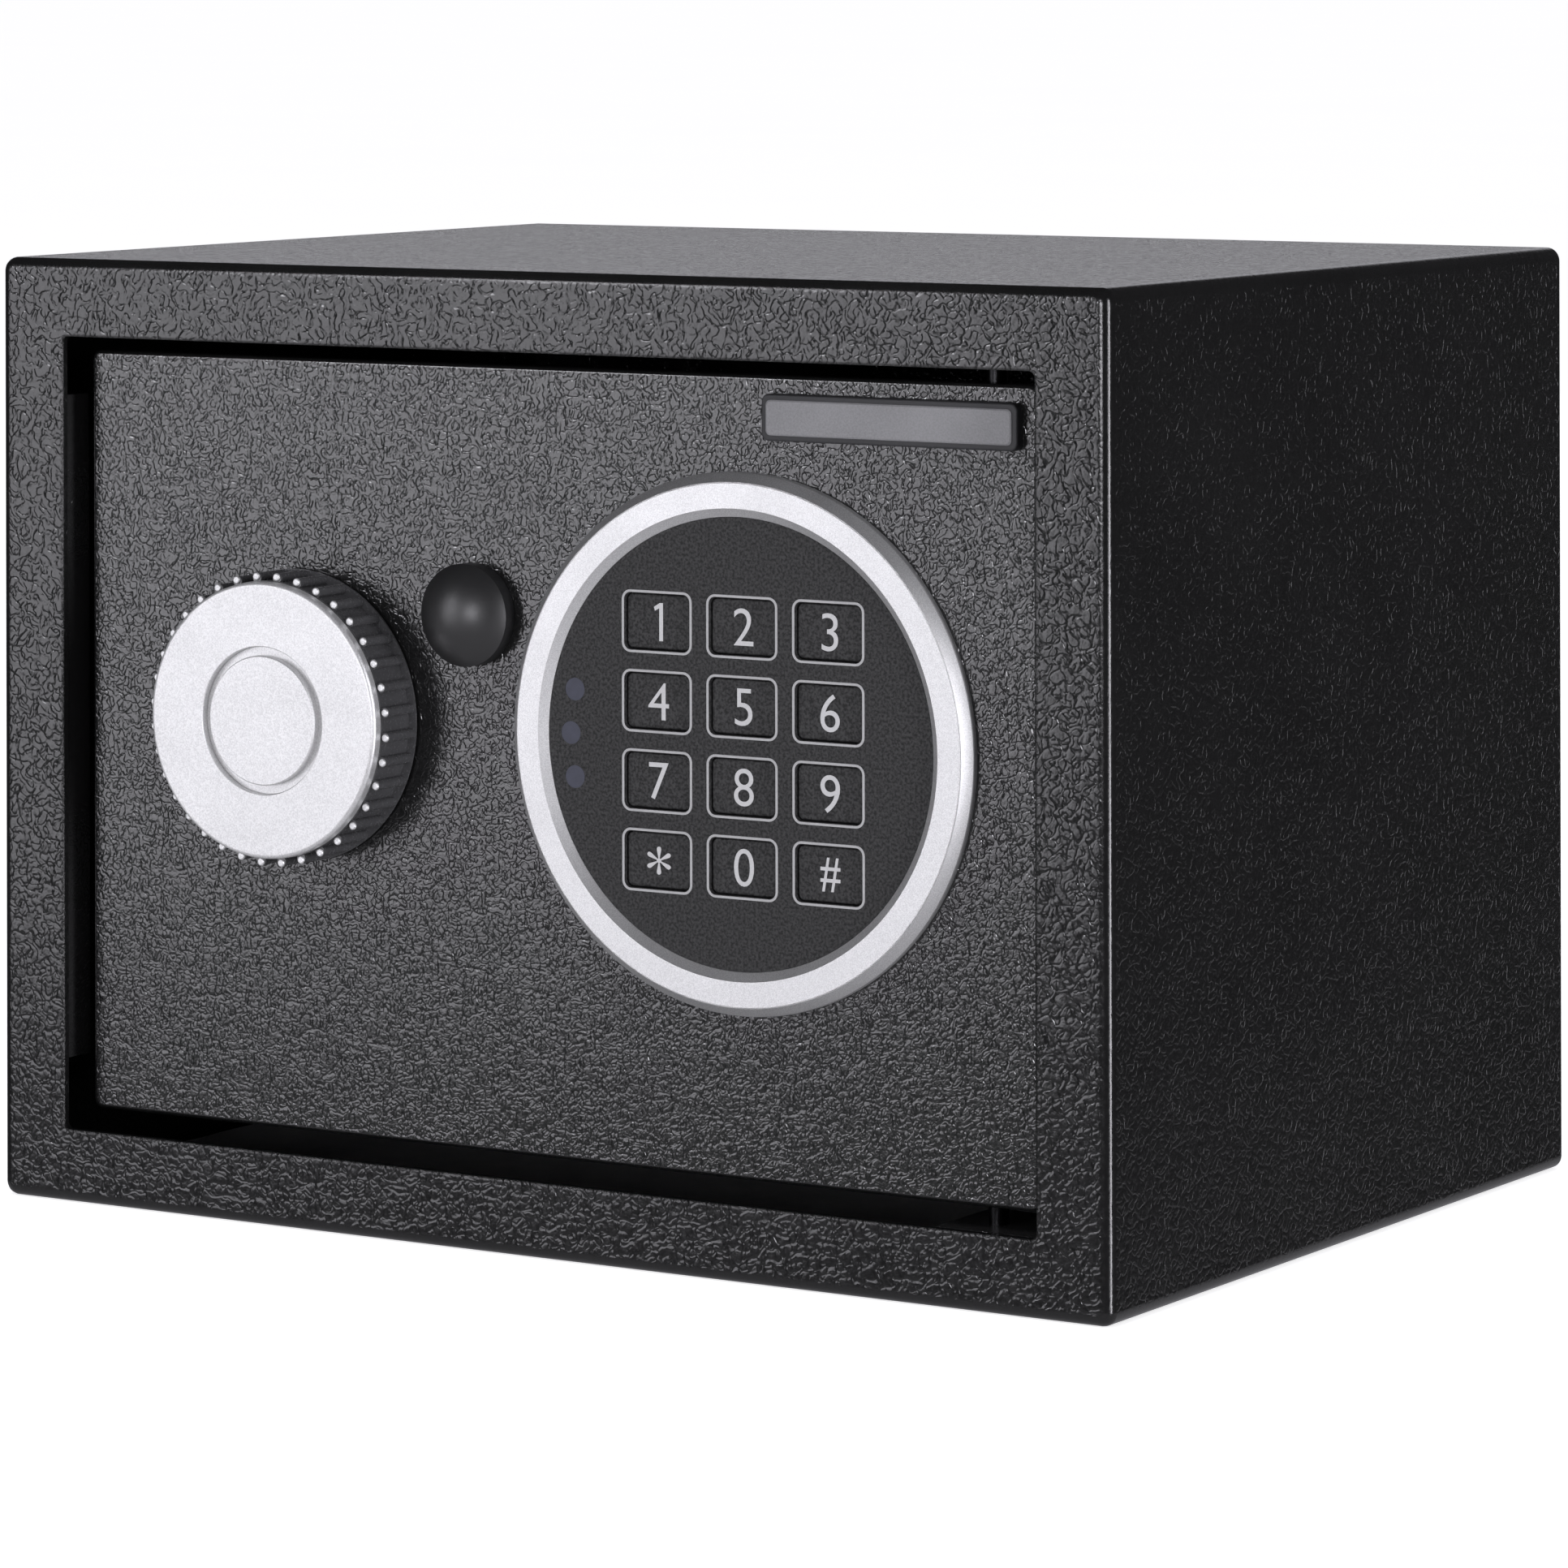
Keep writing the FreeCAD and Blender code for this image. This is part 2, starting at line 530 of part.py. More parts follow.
def solenoid_spring():
    """Pushes the plunger down when the coil is off."""
    z0, z1 = PLUNGER_TOP + 0.3, SOLENOID_Z1 - 1.5
    wire_r, coil_r, turns = 0.3, 2.1, 6
    start = Vector(PLUNGER_X + coil_r, PLUNGER_Y, z0 + wire_r)
    height = z1 - z0 - 2 * wire_r
    helix = Part.makeHelix(height / turns, height, coil_r)
    helix.translate(Vector(PLUNGER_X, PLUNGER_Y, z0 + wire_r))
    section = Part.Wire(Part.makeCircle(wire_r, start, Vector(0, 1, 0)))
    return Part.Wire(helix.Edges).makePipeShell([section], True, True)


def solenoid_plunger():
    rod = post(PLUNGER_X, PLUNGER_Y, PLUNGER_R, NOSE_Z, PLUNGER_TOP)
    rod = rod.makeChamfer(0.8, edges_at_z(rod, NOSE_Z))
    return rod.fuse(disc(PLUNGER_X, LIFT_PIN_Z, LIFT_PIN_R, PLUNGER_Y, LIFT_PIN_Y1))


# ---------------------------------------------------------------- override lock
LOCK_HEAD_R = 8.1
LOCK_HEAD_Y = FACE - 1.2
BARREL_R = 7.2
BARREL_BACK_Y = 26.5
PLUG_R = 5.4
PLUG_PLAY = 0.08
NUT_FLATS, NUT_T = 18.0, 3.5
CAP_R = 8.95
CAP_SKIRT = 2.8
CAP_RISE = 4.0
CAP_WALL = 0.8
CAM_Y0, CAM_Y1 = 27.5, 29.3
CAM_REACH = 23.0
CAM_HALF = 2.5
TAIL_HALF = 2.1


def override_lock_body():
    bore = PLUG_R + PLUG_PLAY
    return lathe(OVERRIDE_X, OVERRIDE_Z, [
        (bore, LOCK_HEAD_Y), (LOCK_HEAD_R - 0.3, LOCK_HEAD_Y), (LOCK_HEAD_R, LOCK_HEAD_Y + 0.3),
        (LOCK_HEAD_R, FACE), (BARREL_R, FACE), (BARREL_R, BARREL_BACK_Y), (3.1, BARREL_BACK_Y),
        (3.1, 24.5), (bore, 24.5)])


def override_lock_nut():
    nut = hexagon(OVERRIDE_X, OVERRIDE_Z, NUT_FLATS, BACK, BACK + NUT_T)
    return nut.cut(disc(OVERRIDE_X, OVERRIDE_Z, BARREL_R + 0.02, BACK - 1, BACK + NUT_T + 1))


def override_plug():
    front = LOCK_HEAD_Y + 0.2
    plug = disc(OVERRIDE_X, OVERRIDE_Z, PLUG_R, front, 24.3)
    neck = disc(OVERRIDE_X, OVERRIDE_Z, 3.0, 24.3, CAM_Y0 - 0.2)
    x0, x1 = OVERRIDE_X - TAIL_HALF, OVERRIDE_X + TAIL_HALF
    tail = block(x0, x1, CAM_Y0 - 0.2, CAM_Y1, OVERRIDE_Z - TAIL_HALF, OVERRIDE_Z + TAIL_HALF)
    keyway = block(OVERRIDE_X - 0.8, OVERRIDE_X + 0.8, front - 1, 20, OVERRIDE_Z - 3.8, OVERRIDE_Z + 3.8)
    screw_hole = disc(OVERRIDE_X, OVERRIDE_Z, 1.2, CAM_Y0 - 2, CAM_Y1 + 1)
    return plug.fuse([neck, tail]).cut([keyway, screw_hole])


def override_cam():
    """Arm that points down at rest and lifts the plunger's pin when the key is turned."""
    hub = disc(OVERRIDE_X, OVERRIDE_Z, 5.0, CAM_Y0, CAM_Y1)
    arm = block(OVERRIDE_X - CAM_HALF, OVERRIDE_X + CAM_HALF, CAM_Y0, CAM_Y1,
                OVERRIDE_Z - CAM_REACH, OVERRIDE_Z)
    hole_half = TAIL_HALF + 0.02
    hole = block(OVERRIDE_X - hole_half, OVERRIDE_X + hole_half, CAM_Y0 - 1, CAM_Y1 + 1,
                 OVERRIDE_Z - hole_half, OVERRIDE_Z + hole_half)
    return hub.fuse(arm).removeSplitter().cut(hole)


def cam_screw():
    head = disc(OVERRIDE_X, OVERRIDE_Z, 3.2, CAM_Y1, CAM_Y1 + 1.6)
    return head.fuse(disc(OVERRIDE_X, OVERRIDE_Z, 1.18, CAM_Y0 - 1.5, CAM_Y1))


def override_cap():
    """Dome with a short skirt that clips over the head of the lock and hides the keyhole."""
    rim = FACE - CAP_SKIRT
    top = rim - CAP_RISE
    ball_r = (CAP_R ** 2 + CAP_RISE ** 2) / (2 * CAP_RISE)
    centre = Vector(OVERRIDE_X, top + ball_r, OVERRIDE_Z)
    dome = Part.makeSphere(ball_r, centre).common(disc(OVERRIDE_X, OVERRIDE_Z, CAP_R, top - 1, rim))
    skirt = disc(OVERRIDE_X, OVERRIDE_Z, CAP_R, rim, FACE - 0.05)
    clip_r = LOCK_HEAD_R + 0.05
    hollow = Part.makeSphere(ball_r - CAP_WALL, centre)
    hollow = hollow.common(disc(OVERRIDE_X, OVERRIDE_Z, clip_r, top - 1, rim + 0.5))
    bore = disc(OVERRIDE_X, OVERRIDE_Z, clip_r, rim + 0.5, FACE + 1)
    return dome.fuse(skirt).removeSplitter().cut([hollow, bore])


# ---------------------------------------------------------------- keypad
RING_FLAT_Y = FACE - 2.7
RING_R = 46.2
RING_FLAT_R0, RING_FLAT_R1 = 40.1, 44.6
PANEL_Y = RING_FLAT_Y + 1.2
PANEL_R = 38.55
PANEL_FLANGE_R = 40.4
PANEL_BACK_Y = PANEL_Y + 2.0
KEY_COLUMNS, KEY_ROWS = 3, 4
KEY_PITCH_X, KEY_PITCH_Z = 17.2, 13.6
KEY_W, KEY_H = 12.9, 9.4
KEY_HOLE_GAP = 0.15
KEY_RECESS = 0.6
KEY_FLANGE = 0.85
GRID_X, GRID_Z = PAD_X + 0.85, PAD_Z - 0.5
LED_CIRCLE, LED_SPREAD, LED_R = 34.0, 12.8, 1.95
KEY_NAMES = ("1", "2", "3", "4", "5", "6", "7", "8", "9", "star", "0", "hash")
MAT_Y = 7.5
BOARD_Y = 9.0
BOARD_R = 38.9
BOARD_T = 1.6
TUB_R = 40.7
TUB_BACK_Y = 15.5


def key_places():
    for i in range(KEY_COLUMNS * KEY_ROWS):
        column, row = i % KEY_COLUMNS, i // KEY_COLUMNS
        x = GRID_X + (column - (KEY_COLUMNS - 1) / 2) * KEY_PITCH_X
        z = GRID_Z + ((KEY_ROWS - 1) / 2 - row) * KEY_PITCH_Z
        yield KEY_NAMES[i], x, z


def led_places():
    for turn in (-LED_SPREAD, 0.0, LED_SPREAD):
        a = math.radians(180 + turn)
        yield PAD_X + LED_CIRCLE * math.cos(a), PAD_Z + LED_CIRCLE * math.sin(a)


def centred_plate(x, z, w, h, r, y0, y1):
    return plate(x - w / 2, x + w / 2, z - h / 2, z + h / 2, r, y0, y1)


def bezel_ring():
    """Bevelled ring with a fine groove beside its flat and a short upright rim."""
    y = RING_FLAT_Y
    groove = [(RING_FLAT_R1 - 0.25, y), (RING_FLAT_R1 - 0.15, y + 0.25), (RING_FLAT_R1, y + 0.1)]
    bevel = [(RING_R - 0.4, y + 1.35), (RING_R - 0.12, y + 1.65), (RING_R, y + 2.0)]
    bore = PANEL_R + 0.05
    seat = PANEL_FLANGE_R + 0.1
    seat_y = PANEL_Y + 0.8
    ring = lathe(PAD_X, PAD_Z, [(RING_FLAT_R0, y)] + groove + bevel + [
        (RING_R, FACE), (seat, FACE), (seat, seat_y), (bore, seat_y), (bore, PANEL_Y)])
    holes = [disc(x, z, 1.0, FACE - 1.9, FACE + 1)
             for x, z in ring_of(3, PAD_SCREW_CIRCLE, PAD_X, PAD_Z, PAD_SCREW_TURN)]
    return ring.cut(holes)


def keypad_faceplate():
    panel = lathe(PAD_X, PAD_Z, [
        (0, PANEL_Y), (PANEL_R, PANEL_Y), (PANEL_R, PANEL_Y + 0.85), (PANEL_FLANGE_R, PANEL_Y + 0.85),
        (PANEL_FLANGE_R, PANEL_BACK_Y), (0, PANEL_BACK_Y)])
    w, h = KEY_W + 2 * KEY_HOLE_GAP, KEY_H + 2 * KEY_HOLE_GAP
    cuts = [centred_plate(x, z, w, h, 1.3, PANEL_Y - 1, PANEL_BACK_Y + 1) for _, x, z in key_places()]
    cuts += [disc(x, z, LED_R + 0.03, PANEL_Y - 1, PANEL_BACK_Y + 1) for x, z in led_places()]
    return panel.cut(cuts)


def key(x, z):
    front = PANEL_Y + KEY_RECESS
    cap = centred_plate(x, z, KEY_W, KEY_H, 1.15, front, PANEL_BACK_Y + 0.1)
    cap = round_front(cap, front, 0.35)
    w, h = KEY_W + 2 * KEY_FLANGE, KEY_H + 2 * KEY_FLANGE
    return cap.fuse(centred_plate(x, z, w, h, 1.6, PANEL_BACK_Y + 0.1, PANEL_BACK_Y + 0.8))


def led_windows():
    return [disc(x, z, LED_R, PANEL_Y, PANEL_BACK_Y) for x, z in led_places()]


def key_mat():
    mat = disc(PAD_X, PAD_Z, BOARD_R, MAT_Y, MAT_Y + 0.8)
    return mat.fuse([disc(x, z, 3.0, MAT_Y + 0.8, BOARD_Y - 0.2) for _, x, z in key_places()])


def keypad_board():
    board = disc(PAD_X, PAD_Z, BOARD_R, BOARD_Y, BOARD_Y + BOARD_T)
    back = BOARD_Y + BOARD_T
    chip = block(PAD_X - 22, PAD_X - 8, back, back + 1.6, PAD_Z + 4, PAD_Z + 14)
    socket = block(PAD_X - 6, PAD_X + 6, back, back + 2.6, PAD_Z - 32, PAD_Z - 28)
    buzzer = disc(PAD_X + 18, PAD_Z + 10, 6.0, back, back + 2.6)
    return board.fuse([chip, socket, buzzer])


def keypad_housing():
    tub = lathe(PAD_X, PAD_Z, [
        (TUB_R - 1.4, PANEL_BACK_Y + 0.05), (TUB_R, PANEL_BACK_Y + 0.05), (TUB_R, BACK), (RING_R, BACK),
        (RING_R, BACK + 1.5), (TUB_R, BACK + 1.5), (TUB_R, TUB_BACK_Y), (0, TUB_BACK_Y),
        (0, TUB_BACK_Y - 1.5), (TUB_R - 1.4, TUB_BACK_Y - 1.5)])
    cuts = [disc(x, z, 1.4, BACK - 1, BACK + 3)
            for x, z in ring_of(3, PAD_SCREW_CIRCLE, PAD_X, PAD_Z, PAD_SCREW_TURN)]
    cuts.append(block(PAD_X - 6, PAD_X + 6, TUB_BACK_Y - 3, TUB_BACK_Y + 1, PAD_Z - 32, PAD_Z - 28))
    return tub.cut(cuts)


def keypad_screws():
    seat = BACK + 1.5
    for x, z in ring_of(3, PAD_SCREW_CIRCLE, PAD_X, PAD_Z, PAD_SCREW_TURN):
        yield disc(x, z, 2.2, seat, seat + 1.5).fuse(disc(x, z, 0.98, FACE - 1.7, seat))


BADGE_X0, BADGE_X1 = 45.5, 95.5
BADGE_Z0, BADGE_Z1 = 142.3, 150.3
BADGE_T = 1.8


def badge_plate():
    """Plain raised name-plate blank."""
    badge = plate(BADGE_X0, BADGE_X1, BADGE_Z0, BADGE_Z1, 1.4, FACE - BADGE_T, FACE)
    return round_front(badge, FACE - BADGE_T, 0.4)


# ---------------------------------------------------------------- electronics inside the lock case
CELL_R, CELL_LENGTH, CELL_PITCH, CELLS = 7.15, 50.0, 15.2, 4
CELL_X0 = 13.2
CELL_Y = 26.0
CELL_Z0 = 39.2
HOLDER_X0, HOLDER_X1 = 7.0, 69.5
HOLDER_Y0, HOLDER_Y1 = 17.5, CASE_BACK - CASE_T - 0.1
HOLDER_Z0, HOLDER_Z1 = 30.5, 93.5
THUMB_GROOVES, THUMB_PITCH = 4, 2.2
RESET_X, RESET_Z = 74.6, 60.0
RESET_SEAT_Y = 29.8
MAIN_BOARD_Y = 18.0


def battery_opening():
    """x0, x1, z0, z1 of the hole in the lock case over the cells."""
    return HOLDER_X0 + 2, HOLDER_X1 - 2, HOLDER_Z0 + 2, HOLDER_Z1 - 2


def cell_heights():
    return [CELL_Z0 + CELL_PITCH * i for i in range(CELLS)]


def battery_holder():
    holder = block(HOLDER_X0, HOLDER_X1, HOLDER_Y0, HOLDER_Y1, HOLDER_Z0, HOLDER_Z1)
    t = 1.5
    hollow = block(HOLDER_X0 + t, HOLDER_X1 - t, CELL_Y, HOLDER_Y1 + 1, HOLDER_Z0 + t, HOLDER_Z1 - t)
    troughs = [bar(CELL_Y, z, CELL_R + 0.2, HOLDER_X0 + t, HOLDER_X1 - t) for z in cell_heights()]
    return holder.cut([hollow] + troughs)


def battery_cells():
    """Four pen cells, laid alternately."""
    for i, z in enumerate(cell_heights()):
        flipped = i % 2 == 1
        nub = 1.2
        body_x0 = CELL_X0 + (nub if flipped else 0)
        body = bar(CELL_Y, z, CELL_R, body_x0, body_x0 + CELL_LENGTH - nub)
        rims = [e for e in body.Edges if e.Curve.TypeId == "Part::GeomCircle"]
        body = body.makeFillet(0.5, rims)
        nub_x0 = CELL_X0 if flipped else CELL_X0 + CELL_LENGTH - nub
        yield body.fuse(bar(CELL_Y, z, 2.7, nub_x0, nub_x0 + nub))


def battery_contacts():
    """Sprung plates at both ends, each bridging two cells."""
    left_x, right_x = HOLDER_X0 + 1.5, HOLDER_X1 - 1.5
    heights = cell_heights()
    for pair in (heights[:2], heights[2:]):
        z0, z1 = pair[0] - 4, pair[1] + 4
        left = block(left_x, left_x + 0.5, CELL_Y, CELL_Y + 6, z0, z1)
        right = block(right_x - 0.5, right_x, CELL_Y, CELL_Y + 6, z0, z1)
        left_pads = [bar(CELL_Y, z, 2.5, left_x + 0.5, CELL_X0 - 0.1) for z in pair]
        right_pads = [bar(CELL_Y, z, 2.5, CELL_X0 + CELL_LENGTH + 0.1, right_x - 0.5) for z in pair]
        yield left.fuse(left_pads)
        yield right.fuse(right_pads)


def battery_cover():
    """Lift-off lid: a plug in the case's opening and a rim that rests on the case."""
    x0, x1, z0, z1 = battery_opening()
    gap, lip = 0.3, 1.5
    plug = plate(x0 + gap, x1 - gap, z0 + gap, z1 - gap, 1.8, CASE_BACK - 1.0, CASE_BACK)
    lid = plate(x0 - lip, x1 + lip, z0 - lip, z1 + lip, 3, CASE_BACK, CASE_BACK + 1.4)
    lid = round_front(lid, CASE_BACK + 1.4, 0.5)
    middle = (x0 + x1) / 2
    grooves = []
    for i in range(THUMB_GROOVES):
        top = z1 - 5 - THUMB_PITCH * i
        grooves.append(block(middle - 9, middle + 9, CASE_BACK + 0.8, CASE_BACK + 2, top - 1, top))
    return plug.fuse(lid).cut(grooves)


def control_board():
    """Lock electronics on stand-offs from the keypad housing."""
    back = MAIN_BOARD_Y + BOARD_T
    board = block(8, 72, MAIN_BOARD_Y, back, 97, 140)
    controller = block(20, 34, back, back + 2, 112, 126)
    relay = block(44, 56, back, back + 8, 118, 134)
    capacitor = disc(64, 112, 4, back, back + 9)
    solenoid_socket = block(12, 20, back, back + 5, 130, 136)
    battery_socket = block(62, 70, back, back + 5, 126, 132)
    stand_offs = [disc(x, z, 2, TUB_BACK_Y, MAIN_BOARD_Y) for x in (16, 64) for z in (101, 112)]
    return board.fuse([controller, relay, capacitor, solenoid_socket, battery_socket] + stand_offs)


def cables():
    """Flat keypad cable, two battery leads and two solenoid leads."""
    x0, x1, t = PAD_X - 4.5, PAD_X + 4.5, 0.5
    z = PAD_Z - 30.0
    flat = block(x0, x1, BOARD_Y + 4.4, 16.7, z - t / 2, z + t / 2)
    rise = block(x0, x1, 16.2, 16.7, z, 99)
    end = block(x0, x1, 16.2, MAIN_BOARD_Y, 98.5, 99)
    yield flat.fuse([rise, end]).removeSplitter()
    for i in (0, 1):
        s = 2.0 * i
        battery_lead = [(70.4, 27.0, 84), (73.5, 27.0, 93), (73.8, 25.5, 102), (71.5, 22.2, 108)]
        solenoid_lead = [(-28.0, 18.5, 128), (-18, 21.5, 131), (-2, 22.5, 134), (10.6, 21.6, 134)]
        yield cable([(x, y + s, z) for x, y, z in battery_lead], 0.7)
        yield cable([(x, y + s, z) for x, y, z in solenoid_lead], 0.6)


def reset_switch():
    body = block(RESET_X - 3.5, RESET_X + 3.5, 26.0, CASE_BACK - CASE_T, RESET_Z - 4, RESET_Z + 4)
    return body.cut(disc(RESET_X, RESET_Z, 3.1, RESET_SEAT_Y, CASE_BACK + 1))


def reset_button():
    button = disc(RESET_X, RESET_Z, 3.0, RESET_SEAT_Y + RESET_TRAVEL + 0.1, CASE_BACK + RESET_TRAVEL)
    return round_front(button, CASE_BACK + RESET_TRAVEL, 0.5)


# ---------------------------------------------------------------- write every node
save("body_wrap", body_wrap())
save("front_frame", front_frame())
save("rear_panel", rear_panel())
save("strike_channel", strike_channel())
save("hinge_sockets", *hinge_sockets())
save("floor_mat", floor_mat())

save("door_plate", door_plate())
save("hinge_lugs", *hinge_lugs())
save("hinge_pins", *hinge_pins())
save("lock_case", lock_case())
save("lock_case_screws", *lock_case_screws())
save("badge_plate", badge_plate())

save("knob_bushing", knob_bushing())
save("knob_grip", knob_grip())
save("grip_studs", *grip_studs())
save("knob_face", knob_face())
save("knob_cap", knob_cap())
save("knob_shaft", knob_shaft())
save("knob_crank", knob_crank())

save("bolt_carriage", bolt_carriage())
save("live_bolts", *live_bolts())
save("bolt_guide", bolt_guide())
save("guide_studs", *guide_studs())

save("solenoid_frame", solenoid_frame())
save("solenoid_coil", solenoid_coil())
save("solenoid_spring", solenoid_spring())
save("solenoid_plunger", solenoid_plunger())

save("override_lock_body", override_lock_body())
save("override_lock_nut", override_lock_nut())
save("override_plug", override_plug())
save("override_cam", override_cam())
save("cam_screw", cam_screw())
save("override_cap", override_cap())

save("bezel_ring", bezel_ring())
save("keypad_faceplate", keypad_faceplate())
for name, key_x, key_z in key_places():
    save("key_" + name, key(key_x, key_z))
save("led_windows", *led_windows())
save("key_mat", key_mat())
save("keypad_board", keypad_board())
save("keypad_housing", keypad_housing())
save("keypad_screws", *keypad_screws())

save("battery_holder", battery_holder())
save("battery_cells", *battery_cells())
save("battery_contacts", *battery_contacts())
save("battery_cover", battery_cover())
save("control_board", control_board())
save("cables", *cables())
save("reset_switch", reset_switch())
save("reset_button", reset_button())
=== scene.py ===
"""Looks of the small electronic safe: materials, printed keypad, felt, studio and camera."""

import json
import math

import bmesh
import bpy
from mathutils import Matrix, Vector, noise


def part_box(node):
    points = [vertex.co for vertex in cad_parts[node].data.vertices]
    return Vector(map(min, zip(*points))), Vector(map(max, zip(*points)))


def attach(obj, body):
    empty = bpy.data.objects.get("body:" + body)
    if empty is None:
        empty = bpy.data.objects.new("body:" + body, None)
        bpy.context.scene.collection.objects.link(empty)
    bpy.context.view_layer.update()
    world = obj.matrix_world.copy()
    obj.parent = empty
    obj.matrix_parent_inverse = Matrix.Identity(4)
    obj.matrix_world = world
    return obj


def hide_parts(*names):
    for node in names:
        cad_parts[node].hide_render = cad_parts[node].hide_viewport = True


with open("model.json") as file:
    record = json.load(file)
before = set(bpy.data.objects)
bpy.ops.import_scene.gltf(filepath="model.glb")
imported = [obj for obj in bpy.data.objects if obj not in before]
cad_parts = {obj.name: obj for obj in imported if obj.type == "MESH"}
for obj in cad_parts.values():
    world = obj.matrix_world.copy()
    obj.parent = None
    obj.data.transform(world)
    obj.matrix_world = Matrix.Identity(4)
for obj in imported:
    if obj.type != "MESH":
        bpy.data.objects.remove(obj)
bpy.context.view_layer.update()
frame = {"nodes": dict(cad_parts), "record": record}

MM = 0.001
nodes = frame["nodes"]
FRONT_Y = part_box("front_frame")[0].y


# ---------------------------------------------------------------- material helpers
def feed(tree, target, value):
    """Links a socket to the target, or sets a plain value on it."""
    if isinstance(value, bpy.types.NodeSocket):
        tree.links.new(value, target)
    else:
        target.default_value = value


class Nodes:
    """Short way to write a material's node tree."""

    def __init__(self, name):
        self.material = bpy.data.materials.new(name)
        self.material.use_nodes = True
        self.tree = self.material.node_tree
        self.shader = self.tree.nodes["Principled BSDF"]
        self.place = self.add("ShaderNodeTexCoord").outputs["Object"]

    def add(self, kind, **settings):
        node = self.tree.nodes.new(kind)
        for key, value in settings.items():
            setattr(node, key, value)
        return node

    def link(self, source, target):
        self.tree.links.new(source, target)

    def feed(self, target, value):
        feed(self.tree, target, value)

    def set(self, **inputs):
        for key, value in inputs.items():
            self.feed(self.shader.inputs[key.replace("_", " ")], value)

    def noise(self, size_mm, detail=2.0, roughness=0.5, distortion=0.0, stretch=None):
        """Noise whose features are about size_mm across."""
        node = self.add("ShaderNodeTexNoise")
        node.inputs["Scale"].default_value = 1.0 / (size_mm * MM)
        node.inputs["Detail"].default_value = detail
        node.inputs["Roughness"].default_value = roughness
        node.inputs["Distortion"].default_value = distortion
        source = self.scaled(self.place, stretch) if stretch else self.place
        self.link(source, node.inputs["Vector"])
        return node.outputs["Fac"]

    def scaled(self, source, factors):
        node = self.add("ShaderNodeVectorMath", operation="MULTIPLY")
        self.link(source, node.inputs[0])
        node.inputs[1].default_value = factors
        return node.outputs[0]

    def math(self, operation, a, b=0.0, clamp=False):
        node = self.add("ShaderNodeMath", operation=operation, use_clamp=clamp)
        self.feed(node.inputs[0], a)
        self.feed(node.inputs[1], b)
        return node.outputs[0]

    def remap(self, value, low, high, to_low=0.0, to_high=1.0):
        node = self.add("ShaderNodeMapRange")
        self.link(value, node.inputs["Value"])
        node.inputs["From Min"].default_value = low
        node.inputs["From Max"].default_value = high
        node.inputs["To Min"].default_value = to_low
        node.inputs["To Max"].default_value = to_high
        return node.outputs["Result"]

    def mix(self, factor, a, b):
        node = self.add("ShaderNodeMix", data_type="RGBA")
        self.feed(node.inputs["Factor"], factor)
        self.feed(node.inputs[6], a)
        self.feed(node.inputs[7], b)
        return node.outputs[2]

    def bump(self, height, depth_mm, strength=1.0, below=None):
        node = self.add("ShaderNodeBump")
        self.feed(node.inputs["Strength"], strength)
        node.inputs["Distance"].default_value = depth_mm * MM
        self.link(height, node.inputs["Height"])
        if below is not None:
            self.link(below, node.inputs["Normal"])
        return node.outputs["Normal"]

    def soft_front_edges(self, radius_mm):
        """Shading of a punched edge rounded by its paint, on the front face only."""
        bevel = self.add("ShaderNodeBevel", samples=6)
        bevel.inputs["Radius"].default_value = radius_mm * MM
        geometry = self.add("ShaderNodeNewGeometry")
        split = self.add("ShaderNodeSeparateXYZ")
        self.link(geometry.outputs["Position"], split.inputs[0])
        behind = self.math("GREATER_THAN", split.outputs["Y"], FRONT_Y + radius_mm * MM)
        pick = self.add("ShaderNodeMix", data_type="VECTOR")
        self.link(behind, pick.inputs["Factor"])
        self.link(bevel.outputs["Normal"], pick.inputs[4])
        self.link(geometry.outputs["Normal"], pick.inputs[5])
        return pick.outputs[1]

    def on_bend(self):
        """Above zero where the surface faces between two axes, as it does round a bend."""
        geometry = self.add("ShaderNodeNewGeometry")
        split = self.add("ShaderNodeSeparateXYZ")
        self.link(geometry.outputs["Normal"], split.inputs[0])
        x, y, z = (self.math("ABSOLUTE", split.outputs[axis]) for axis in "XYZ")
        around = self.math("ADD", self.math("MULTIPLY", x, y), self.math("MULTIPLY", y, z))
        return self.math("ADD", around, self.math("MULTIPLY", x, z))


def grey(level):
    return (level, level, level, 1.0)


# ---------------------------------------------------------------- materials
def powder_coat(name, level, relief_mm=0.06, grain_mm=1.0, gloss=0.8, rough=0.16, worn_edge=False):
    """Black textured powder coat: glossy swells a millimetre or so across, parted by narrow creases."""
    m = Nodes(name)
    creases = []
    for size in (1.9, 1.35):
        line = m.math("ABSOLUTE", m.math("SUBTRACT", m.noise(grain_mm * size, 0.0, 0.5, 0.3), 0.5))
        creases.append(m.remap(line, 0.0, 0.1))
    lump = m.noise(grain_mm * 0.8, 1.0, 0.5)
    height = m.math("ADD", m.math("MULTIPLY", creases[0], 0.55), m.math("MULTIPLY", creases[1], 0.45))
    height = m.math("ADD", height, m.math("MULTIPLY", lump, 0.45))
    tone = m.noise(38.0, 2.0)
    base = m.mix(m.remap(tone, 0.3, 0.7), grey(level * 0.85), grey(level * 1.2))
    # Painted shade: the base colour is darkened along the creases, where shade falls between the swells.
    base = m.mix(m.remap(creases[0], 0.0, 0.5, 0.4, 0.0), base, grey(level * 0.5))
    m.set(Base_Color=base, Roughness=m.remap(lump, 0.3, 0.7, rough - 0.03, rough + 0.05))
    strength = m.remap(m.on_bend(), 0.02, 0.2, 1.0, 0.12)
    below = m.soft_front_edges(0.8) if worn_edge else None
    m.set(Specular_IOR_Level=gloss, Normal=m.bump(height, relief_mm, strength, below))
    return m.material


